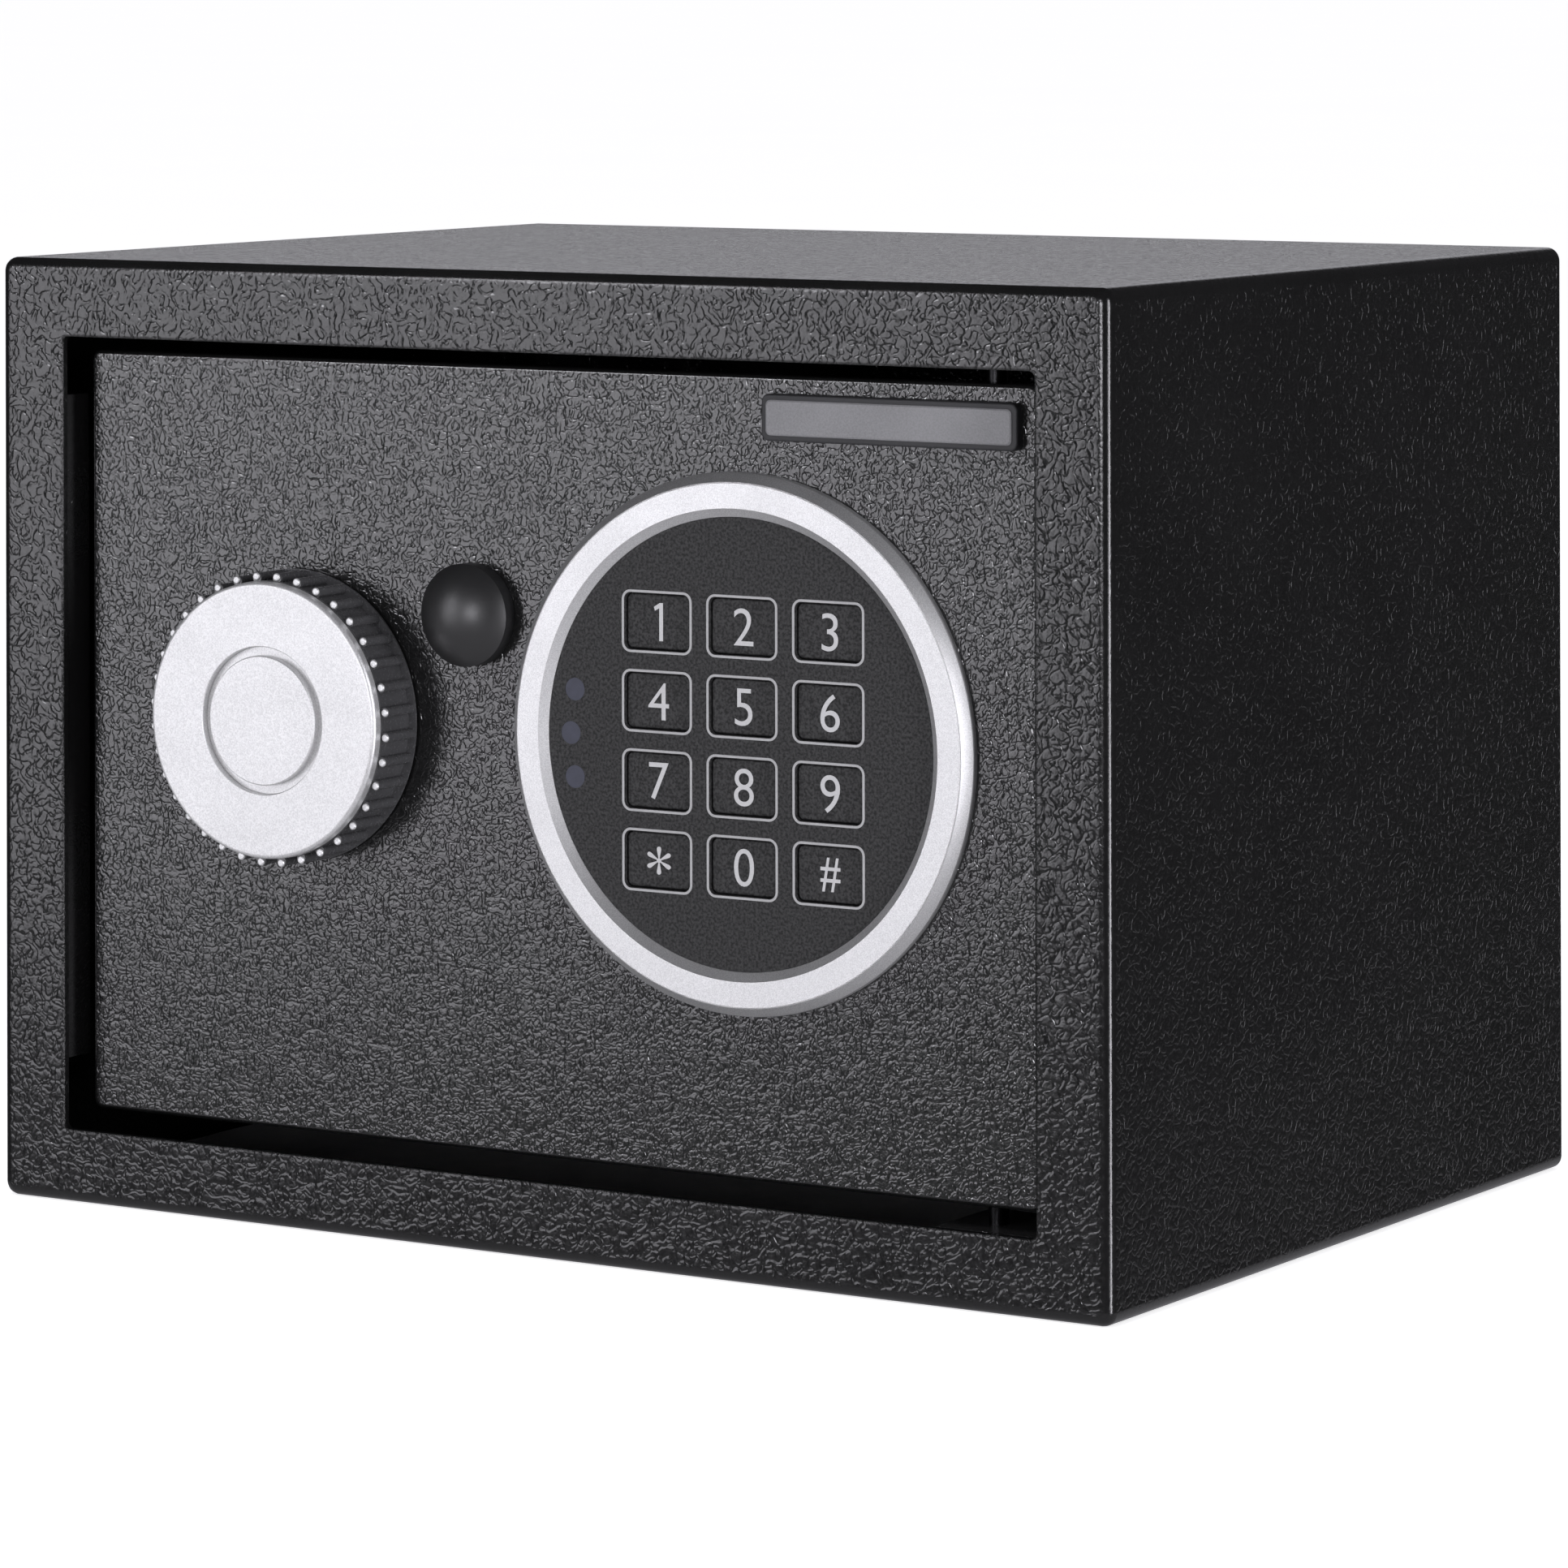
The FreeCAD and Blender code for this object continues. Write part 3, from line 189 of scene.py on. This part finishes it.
def satin_silver(name, level, metallic, rough, grain_mm=0.25, relief_mm=0.01):
    """Fine pearl silver, as on the knob's face."""
    m = Nodes(name)
    sparkle = m.noise(grain_mm, 2.0, 0.6)
    cloud = m.noise(9.0, 2.0)
    base = m.mix(m.remap(sparkle, 0.35, 0.65), grey(level * 0.86), grey(level * 1.12))
    m.set(Base_Color=base, Metallic=metallic, Normal=m.bump(sparkle, relief_mm))
    m.set(Roughness=m.remap(cloud, 0.3, 0.7, rough - 0.02, rough + 0.02))
    return m.material


def brushed_metal(name, colour, rough=0.3, stretch=(1.0, 12.0, 12.0)):
    """Bare or plated metal with fine lines; they run along the axis that is stretched least."""
    m = Nodes(name)
    lines = m.noise(1.6, 4.0, 0.65, stretch=stretch)
    stain = m.noise(9.0, 3.0)
    base = m.mix(m.remap(stain, 0.35, 0.7), tuple(c * 0.82 for c in colour) + (1.0,), colour + (1.0,))
    m.set(Base_Color=base, Metallic=1.0, Normal=m.bump(lines, 0.02))
    m.set(Roughness=m.remap(lines, 0.3, 0.7, rough - 0.06, rough + 0.12))
    return m.material


def plastic(name, colour, rough=0.5, grain_mm=0.35, relief_mm=0.02, speck=0.15, coat=0.0, gloss=0.5):
    """Moulded plastic with a fine spark-eroded grain."""
    m = Nodes(name)
    grain = m.noise(grain_mm, 3.0, 0.6)
    tone = m.noise(12.0, 2.0)
    dark = tuple(c * (1 - speck) for c in colour) + (1.0,)
    light = tuple(min(1.0, c * (1 + speck)) for c in colour) + (1.0,)
    base = m.mix(m.remap(m.math("ADD", grain, m.math("MULTIPLY", tone, 0.5)), 0.55, 0.95), dark, light)
    m.set(Base_Color=base, Normal=m.bump(grain, relief_mm), Coat_Weight=coat, Specular_IOR_Level=gloss)
    m.set(Roughness=m.remap(grain, 0.3, 0.7, rough - 0.06, rough + 0.06))
    return m.material


def panel_plastic(name, dark=0.012, light=0.04):
    """Black faceplate plastic with a fine sparkling grain."""
    m = Nodes(name)
    grain = m.noise(0.5, 1.0, 0.6)
    base = m.mix(m.remap(grain, 0.36, 0.64), grey(dark), grey(light))
    m.set(Base_Color=base, Normal=m.bump(grain, 0.05), Specular_IOR_Level=0.3)
    m.set(Roughness=m.remap(grain, 0.3, 0.7, 0.64, 0.5))
    return m.material


def felt(name):
    """Dark grey fibres with paler tufts."""
    m = Nodes(name)
    fibre = m.noise(0.7, 5.0, 0.75, 1.5)
    tuft = m.noise(5.0, 3.0)
    base = m.mix(m.remap(fibre, 0.3, 0.7), grey(0.02), grey(0.085))
    base = m.mix(m.math("MULTIPLY", m.remap(tuft, 0.4, 0.7), 0.4), base, grey(0.11))
    m.set(Base_Color=base, Roughness=0.97, Normal=m.bump(fibre, 0.6), Sheen_Weight=0.4)
    return m.material


def circuit_board(name):
    """Green mask with copper tracks running under it."""
    m = Nodes(name)
    tracks = m.add("ShaderNodeTexBrick")
    tracks.inputs["Scale"].default_value = 1.0 / (6.0 * MM)
    tracks.inputs["Mortar Size"].default_value = 0.05
    turned = m.add("ShaderNodeSeparateXYZ")
    m.link(m.place, turned.inputs[0])
    flat = m.add("ShaderNodeCombineXYZ")
    m.link(turned.outputs["X"], flat.inputs["X"])
    m.link(turned.outputs["Z"], flat.inputs["Y"])
    m.link(flat.outputs[0], tracks.inputs["Vector"])
    base = m.mix(tracks.outputs["Fac"], (0.008, 0.07, 0.03, 1), (0.03, 0.2, 0.08, 1))
    m.set(Base_Color=base, Roughness=0.35, Normal=m.bump(tracks.outputs["Fac"], 0.03), Coat_Weight=0.3)
    return m.material


def ink(name, level):
    """Printed marking, a little worn."""
    m = Nodes(name)
    wear = m.noise(0.3, 4.0, 0.7)
    m.set(Base_Color=m.mix(m.remap(wear, 0.3, 0.75), grey(level), grey(level * 0.82)))
    m.set(Roughness=0.55, Normal=m.bump(wear, 0.01))
    return m.material


def smoked_lens(name):
    """Dull blue-grey window over a lamp that is off."""
    m = Nodes(name)
    cloud = m.noise(1.2, 2.0)
    m.set(Base_Color=m.mix(cloud, (0.048, 0.05, 0.066, 1), (0.062, 0.066, 0.09, 1)))
    m.set(Roughness=0.6, Normal=m.bump(m.noise(0.4), 0.01), Specular_IOR_Level=0.3)
    return m.material


def cell_jacket(name):
    """Plain cell wrap: a copper-coloured band at one end of a grey sleeve."""
    m = Nodes(name)
    split = m.add("ShaderNodeSeparateXYZ")
    m.link(m.place, split.inputs[0])
    low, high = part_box("battery_cells")
    at = m.remap(split.outputs["X"], low.x, high.x)
    band = m.math("GREATER_THAN", at, 0.7)
    scuff = m.noise(2.5, 4.0, 0.7)
    base = m.mix(band, (0.03, 0.035, 0.045, 1), (0.45, 0.24, 0.1, 1))
    m.set(Base_Color=m.mix(m.math("MULTIPLY", scuff, 0.2), base, grey(0.4)), Metallic=0.4)
    m.set(Roughness=m.remap(scuff, 0.3, 0.7, 0.22, 0.38), Normal=m.bump(scuff, 0.02))
    return m.material


BODY_COAT = dict(level=0.0065, relief_mm=0.07, grain_mm=1.15, gloss=0.6)
BLACK_DOME = (0.01, 0.01, 0.0105)
SLOT_MATERIALS = {
    "body_paint": powder_coat("paint_outer", **BODY_COAT),
    "inner_paint": powder_coat("paint_inner", level=0.022, relief_mm=0.07, grain_mm=0.8),
    "zinc_steel": brushed_metal("zinc_plate", (0.55, 0.55, 0.53), rough=0.32),
    "knob_silver": satin_silver("knob_silver", level=0.82, metallic=0.8, rough=0.47),
    "knob_black": plastic("grip_plastic", (0.058, 0.058, 0.06), 0.24, 0.5, relief_mm=0.006, gloss=0.8),
    "bezel_silver": satin_silver("bezel_silver", 0.82, 0.95, 0.48, grain_mm=0.18, relief_mm=0.006),
    "panel_black": panel_plastic("panel_plastic"),
    "lens_smoke": smoked_lens("smoked_lens"),
    "silicone": plastic("silicone_grey", (0.2, 0.2, 0.21), rough=0.7),
    "circuit_green": circuit_board("board_green"),
    "housing_black": plastic("housing_plastic", (0.025, 0.025, 0.027), 0.55, 0.5, relief_mm=0.03),
    "dome_black": plastic("dome_plastic", BLACK_DOME, 0.4, 0.25, relief_mm=0.006, speck=0.1, gloss=0.9),
    "lock_black": plastic("lock_black_plate", (0.012, 0.012, 0.012), 0.4, 0.4, relief_mm=0.01),
    "brass": brushed_metal("turned_brass", (0.72, 0.5, 0.2), 0.3, stretch=(12.0, 1.0, 12.0)),
    "coil_tape": plastic("coil_tape", (0.45, 0.24, 0.03), 0.35, 0.8, speck=0.1, coat=0.4),
    "cell_jacket": cell_jacket("cell_jacket"),
    "contact_nickel": brushed_metal("nickel", (0.7, 0.67, 0.6), rough=0.2),
    "lead_rubber": plastic("lead_insulation", (0.03, 0.03, 0.03), 0.5, 0.6, relief_mm=0.01),
    "reset_red": plastic("reset_red", (0.5, 0.015, 0.01), 0.3, 0.6, relief_mm=0.005, speck=0.08, coat=0.5),
    "floor_felt": felt("felt"),
}


NODE_MATERIALS = {
    "front_frame": powder_coat("paint_frame", worn_edge=True, **BODY_COAT),
    "door_plate": powder_coat("paint_door", level=0.007, relief_mm=0.064, grain_mm=0.88),
    # Painted shade: the hinge pins get a near-black colour that stands in for the shade of the narrow door
    # gaps they show through, so only glints remain.
    "hinge_pins": brushed_metal("pin_steel_painted_shade", (0.022, 0.022, 0.023), 0.25, stretch=(12.0, 12.0, 1.0)),
}


def dress_cad_nodes():
    """Gives each carried-over part its own material, or that of its slot."""
    slots = {s["node"]: s["material_slot"] for s in frame["record"]["subparts"]}
    for name, obj in nodes.items():
        obj.data.materials.clear()
        obj.data.materials.append(NODE_MATERIALS.get(name) or SLOT_MATERIALS[slots[name]])


dress_cad_nodes()


# ---------------------------------------------------------------- new pieces
def new_object(name, mesh, material):
    """Object with one material, linked into the scene."""
    obj = bpy.data.objects.new(name, mesh)
    bpy.context.scene.collection.objects.link(obj)
    mesh.materials.append(material)
    return obj


def mesh_from(bm, name):
    """Turns the finished bmesh into a named mesh."""
    mesh = bpy.data.meshes.new(name)
    bm.to_mesh(mesh)
    bm.free()
    return mesh


def rounded_loop(half_w, half_h, r, steps=6):
    """Corner-rounded rectangle, anticlockwise, as (x, z) pairs."""
    points = []
    corners = ((1, 1, 0), (-1, 1, 90), (-1, -1, 180), (1, -1, 270))
    for sx, sz, start in corners:
        for i in range(steps + 1):
            turn = math.radians(start + 90 * i / steps)
            points.append((sx * (half_w - r) + r * math.cos(turn), sz * (half_h - r) + r * math.sin(turn)))
    return points


def loft(name, centre, sections, hollow):
    """Closed mesh through (y, outline) sections. A hollow one joins its last section to the first,
    the others are capped at both ends."""
    bm = bmesh.new()
    rings = []
    for y, outline in sections:
        rings.append([bm.verts.new((centre.x + x, y, centre.z + z)) for x, z in outline])
    following = rings[1:] + rings[:1] if hollow else rings[1:]
    for a, b in zip(rings, following):
        for i in range(len(a)):
            j = (i + 1) % len(a)
            bm.faces.new((a[i], a[j], b[j], b[i]))
    if not hollow:
        bm.faces.new(rings[-1])
        bm.faces.new(rings[0][::-1])
    bmesh.ops.recalc_face_normals(bm, faces=bm.faces)
    return mesh_from(bm, name)


# Printed keypad: a thin raised outline round each key, and a figure on it.
OUTLINE_HALF_W = 6.68 * MM
OUTLINE_HALF_H = 4.93 * MM
OUTLINE_WIDTH = 0.46 * MM
OUTLINE_CORNER = 1.3 * MM
OUTLINE_SHOULDER = 0.12      # share of the width that slopes at each edge
OUTLINE_SUNK = 0.02 * MM
OUTLINE_RISE = 0.1 * MM
PRINT = ink("key_print", 0.56)
FRAME_PRINT = ink("key_outline", 0.42)
KEY_SIGNS = {"key_star": "*", "key_hash": "#"}
SIGN_HEIGHT = 6.5 * MM
CAPITAL_SHARE = 0.7          # of the built-in font's size
SIGN_THIN = -0.045 * MM      # stroke offset of the figures
SIGN_BOLD = 0.02 * MM        # and of the two signs
SIGN_STRETCH = {"*": (1.28, 1.14), "#": (0.72, 0.88)}
PRINT_RISE = 0.05 * MM


def key_outline(node, panel_y):
    """Printed outline around a key, with sloping edges."""
    low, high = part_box(node)
    back, front = panel_y + OUTLINE_SUNK, panel_y - OUTLINE_RISE
    sections = []
    for share, y in ((0.0, back), (OUTLINE_SHOULDER, front), (1 - OUTLINE_SHOULDER, front), (1.0, back)):
        grow = OUTLINE_WIDTH * (1 - share)
        outline = rounded_loop(OUTLINE_HALF_W + grow, OUTLINE_HALF_H + grow, OUTLINE_CORNER + grow)
        sections.append((y, outline))
    name = "outline_" + node
    mesh = loft(name, (low + high) / 2, sections, hollow=True)
    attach(new_object(name, mesh, FRAME_PRINT), "door")


def mesh_of_letter(text):
    """Letter of the built-in font, its strokes thinned or thickened, as a flat mesh."""
    curve = bpy.data.curves.new("letter", "FONT")
    curve.body = text
    curve.size = SIGN_HEIGHT / CAPITAL_SHARE
    curve.extrude = PRINT_RISE
    curve.resolution_u = 6
    curve.offset = SIGN_THIN if text.isdigit() else SIGN_BOLD
    obj = bpy.data.objects.new("letter", curve)
    bpy.context.scene.collection.objects.link(obj)
    bpy.context.view_layer.update()
    mesh = bpy.data.meshes.new_from_object(obj.evaluated_get(bpy.context.evaluated_depsgraph_get()))
    bpy.data.objects.remove(obj)
    return mesh


def mesh_of_one():
    """Figure 1 with the sloping flag that the built-in font lacks."""
    half = 0.37 * MM
    top = SIGN_HEIGHT
    stem = [(-half, 0), (half, 0), (half, top)]
    flag = [(-0.28 * MM, top), (-1.45 * MM, top - 0.7 * MM)]
    flag += [(-1.25 * MM, top - 1.35 * MM), (-half, top - 0.9 * MM)]
    bm = bmesh.new()
    face = bm.faces.new([bm.verts.new((x, y, -PRINT_RISE)) for x, y in stem + flag])
    risen = bmesh.ops.extrude_face_region(bm, geom=[face])["geom"]
    verts = [v for v in risen if isinstance(v, bmesh.types.BMVert)]
    bmesh.ops.translate(bm, verts=verts, vec=(0, 0, 2 * PRINT_RISE))
    bmesh.ops.recalc_face_normals(bm, faces=bm.faces)
    return mesh_from(bm, "letter")


def key_sign(node, text):
    """Figure printed on a key's face, as a thin mesh that stands slightly proud."""
    low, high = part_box(node)
    mesh = mesh_of_one() if text == "1" else mesh_of_letter(text)
    mesh.name = "sign_" + node
    xs = [v.co.x for v in mesh.vertices]
    ys = [v.co.y for v in mesh.vertices]
    mesh.transform(Matrix.Translation((-(min(xs) + max(xs)) / 2, -(min(ys) + max(ys)) / 2, 0)))
    wide, tall = SIGN_STRETCH.get(text, (1.0, 1.0))
    mesh.transform(Matrix.Diagonal((wide, tall, 1.0, 1.0)))
    mesh.transform(Matrix.Rotation(math.radians(90), 4, "X"))
    centre = (low + high) / 2
    mesh.transform(Matrix.Translation((centre.x, low.y, centre.z)))
    for p in mesh.polygons:
        p.use_smooth = False
    sign = new_object("sign_" + node, mesh, PRINT)
    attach(sign, "press_" + node)


def print_keypad():
    """Outline and figure for each of the twelve keys."""
    panel_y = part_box("keypad_faceplate")[0].y
    keys = sorted(n for n in nodes if n.startswith("key_") and n != "key_mat")
    for node in keys:
        key_outline(node, panel_y)
        key_sign(node, KEY_SIGNS.get(node, node.removeprefix("key_")))


print_keypad()


INLAY_MARGIN = 1.0 * MM
INLAY_CORNER = 0.9 * MM
INLAY_SUNK = 0.1 * MM
INLAY_RISE = 0.3 * MM
INLAY_ROUND = 0.25 * MM


def badge_inlay():
    """Plain grey inlay on the raised blank, with its front edge broken."""
    low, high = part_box("badge_plate")
    half_w, half_h = (high.x - low.x) / 2 - INLAY_MARGIN, (high.z - low.z) / 2 - INLAY_MARGIN
    side = rounded_loop(half_w, half_h, INLAY_CORNER)
    face = rounded_loop(half_w - INLAY_ROUND, half_h - INLAY_ROUND, INLAY_CORNER)
    sections = [(low.y + INLAY_SUNK, side), (low.y - INLAY_RISE / 2, side), (low.y - INLAY_RISE, face)]
    lacquer = plastic("badge_lacquer", (0.2, 0.2, 0.205), rough=0.45)
    mesh = loft("badge_inlay", (low + high) / 2, sections, hollow=False)
    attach(new_object("badge_inlay", mesh, lacquer), "door")


badge_inlay()


FELT_STEP = 2.5 * MM
FELT_DIPS = (0.9 * MM, 0.3 * MM, 0.0)     # at the edge, one row in, and from there on
NAP_HEIGHT = 0.25 * MM
NAP_LENGTH = 7 * MM
FELT_CUT = 8.2 * MM                       # vertices nearer to an anchor hole's centre are cut away
FELT_RIM = 14 * MM                        # the open edge nearer than this is drawn into a circle
FELT_HOLE_R = 9.2 * MM


def cut_anchor_hole(bm, centre):
    """Round hole in the felt sheet around an anchor's centre line."""
    def reach(v):
        return (Vector((v.co.x, v.co.y, 0)) - centre).length

    bmesh.ops.delete(bm, geom=[v for v in bm.verts if reach(v) < FELT_CUT], context="VERTS")
    for v in [v for v in bm.verts if v.is_boundary and reach(v) < FELT_RIM]:
        out = (Vector((v.co.x, v.co.y, 0)) - centre).normalized() * FELT_HOLE_R
        v.co.x, v.co.y = centre.x + out.x, centre.y + out.y


def felt_mat():
    """Felt with a soft, slightly uneven nap and rolled edges, cut around the anchor holes."""
    low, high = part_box("floor_mat")
    columns = int((high.x - low.x) / FELT_STEP)
    rows = int((high.y - low.y) / FELT_STEP)
    bm = bmesh.new()
    grid = {}
    for i in range(columns + 1):
        for j in range(rows + 1):
            x = low.x + (high.x - low.x) * i / columns
            y = low.y + (high.y - low.y) * j / rows
            edge = min(i, columns - i, j, rows - j)
            dip = FELT_DIPS[min(edge, 2)]
            nap = NAP_HEIGHT * noise.noise(Vector((x, y, 0.0)) / NAP_LENGTH)
            grid[i, j] = bm.verts.new((x, y, high.z - NAP_HEIGHT - dip + nap))
    for i in range(columns):
        for j in range(rows):
            bm.faces.new((grid[i, j], grid[i + 1, j], grid[i + 1, j + 1], grid[i, j + 1]))
    anchors = [m for m in frame["record"]["mounts"] if m["name"] == "floor_bolts"][0]
    half = anchors["dims"]["spacing_x_mm"] / 2 * MM
    for side in (-1, 1):
        cut_anchor_hole(bm, Vector((side * half, anchors["pos_m"][1], 0)))
    mesh = mesh_from(bm, "felt_floor")
    for p in mesh.polygons:
        p.use_smooth = True
    piece = new_object("felt_floor", mesh, SLOT_MATERIALS["floor_felt"])
    solid = piece.modifiers.new("thickness", "SOLIDIFY")
    solid.thickness = high.z - low.z - FELT_DIPS[0]
    solid.offset = -1
    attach(piece, "safe_body")
    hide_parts("floor_mat")


felt_mat()


# ---------------------------------------------------------------- studio
FLOOR_GLOW = 0.7             # seen by the camera only, so that the table is as pale as the backdrop
COOL_WHITE = (1.0, 0.99, 1.05)


def floor():
    """Pale table, hidden from reflections: they see the lamps and the glow of world_light instead."""
    bpy.ops.mesh.primitive_plane_add(size=60.0, location=(0, 0, 0))
    plane = bpy.context.object
    plane.name = "studio_floor"
    m = Nodes("studio_white")
    m.set(Base_Color=m.mix(m.noise(400.0), grey(0.9), grey(0.94)), Roughness=0.9, Specular_IOR_Level=0.0)
    seen = m.add("ShaderNodeLightPath").outputs["Is Camera Ray"]
    m.set(Emission_Color=grey(1.0), Emission_Strength=m.math("MULTIPLY", seen, FLOOR_GLOW))
    plane.data.materials.append(m.material)
    plane.visible_glossy = False
    plane.visible_shadow = False


def area_light(name, place, target, size, radiance):
    """Soft box of the given radiance, hidden from the camera."""
    data = bpy.data.lights.new(name, "AREA")
    data.shape = "RECTANGLE"
    data.size, data.size_y = size
    data.energy = radiance * math.pi * size[0] * size[1]
    data.color = COOL_WHITE
    lamp = bpy.data.objects.new(name, data)
    bpy.context.scene.collection.objects.link(lamp)
    lamp.location = place
    lamp.rotation_mode = "QUATERNION"
    lamp.rotation_quaternion = (Vector(target) - Vector(place)).to_track_quat("-Z", "Y")
    lamp.visible_camera = False
    return lamp


def world_light(seen, diffuse, mirrored, table):
    """White backdrop for the camera and soft fill for matt surfaces. Reflections see a dark room above
    a pale table, whose glow starts a little under the horizon."""
    world = bpy.data.worlds.new("studio")
    world.use_nodes = True
    tree = world.node_tree
    rays = tree.nodes.new("ShaderNodeLightPath")
    way = tree.nodes.new("ShaderNodeSeparateXYZ")
    tree.links.new(tree.nodes.new("ShaderNodeTexCoord").outputs["Generated"], way.inputs[0])
    below = tree.nodes.new("ShaderNodeMapRange")
    below.interpolation_type = "SMOOTHSTEP"
    tree.links.new(way.outputs["Z"], below.inputs["Value"])
    glow_from, glow_full = -0.16, -0.36
    ends = (("From Min", glow_from), ("From Max", glow_full), ("To Min", mirrored), ("To Max", table))
    for name, value in ends:
        below.inputs[name].default_value = value
    strength = diffuse
    for ray, value in (("Is Glossy Ray", below.outputs[0]), ("Is Camera Ray", seen)):
        pick = tree.nodes.new("ShaderNodeMix")
        tree.links.new(rays.outputs[ray], pick.inputs["Factor"])
        feed(tree, pick.inputs[2], strength)
        feed(tree, pick.inputs[3], value)
        strength = pick.outputs[0]
    background = tree.nodes["Background"]
    background.inputs["Color"].default_value = COOL_WHITE + (1.0,)
    tree.links.new(strength, background.inputs["Strength"])
    bpy.context.scene.world = world


def studio():
    """Boxes in front light the door, the strip and the cards edge the side and the top."""
    floor()
    world_light(seen=1.0, diffuse=0.32, mirrored=0.03, table=0.36)
    middle = (0, 0, 0.085)
    area_light("front_box", (-1.0, -1.44, 0.1), middle, (0.7, 0.62), 2.8)
    area_light("glint_box", (-0.95, -1.46, 0.56), middle, (0.24, 0.24), 13.0)
    area_light("front_fill", (0.1, -1.7, 0.2), middle, (0.34, 0.34), 17.0)
    area_light("right_strip", (1.667, -0.472, 0.15), middle, (0.34, 1.3), 14.0)
    area_light("side_card", (0.1, 1.9, 0.15), middle, (0.4, 1.2), 0.65)
    area_light("back_card", (-1.1, 1.7, 0.62), middle, (2.2, 0.7), 0.58)
    top = area_light("top_box", (-0.1, -0.3, 1.6), middle, (1.3, 1.0), 1.6)
    top.visible_glossy = False


studio()


# ---------------------------------------------------------------- camera
LENS_MM = 154.5
LENS_SHIFT = -0.533
CAMERA_RIGHT = 0.6524
CAMERA_AHEAD = 0.9591        # in front of the door frame
CAMERA_HEIGHT = 0.2256
CAMERA_TURN_DEG = 32.02
CAMERA_ROLL_DEG = -0.13


def shift_while_level(cam, shift):
    """Lens shift that applies while the camera stands level (Euler angles) and drops to zero when
    it is aimed straight at the object instead (quaternion), so every view keeps the object centred."""
    curve = cam.data.driver_add("shift_y")
    curve.driver.type = "SUM"
    level = curve.driver.variables.new()
    level.type = "SINGLE_PROP"
    level.targets[0].id = cam
    level.targets[0].data_path = "rotation_mode"
    for modifier in list(curve.modifiers):
        curve.modifiers.remove(modifier)
    line = curve.modifiers.new("GENERATOR")
    line.coefficients = (0.0, shift)


def camera():
    """Long lens from the right of the front, kept level, with the picture shifted down."""
    data = bpy.data.cameras.new("camera")
    data.sensor_width = 36.0
    data.lens = LENS_MM
    data.clip_start, data.clip_end = 0.05, 50
    cam = bpy.data.objects.new("camera", data)
    bpy.context.scene.collection.objects.link(cam)
    cam.location = (CAMERA_RIGHT, FRONT_Y - CAMERA_AHEAD, CAMERA_HEIGHT)
    cam.rotation_euler = (math.radians(90), 0, math.radians(CAMERA_TURN_DEG))
    cam.rotation_euler.rotate_axis("Z", math.radians(CAMERA_ROLL_DEG))
    shift_while_level(cam, LENS_SHIFT)
    bpy.context.scene.camera = cam


camera()
bpy.context.scene.view_settings.view_transform = "Standard"
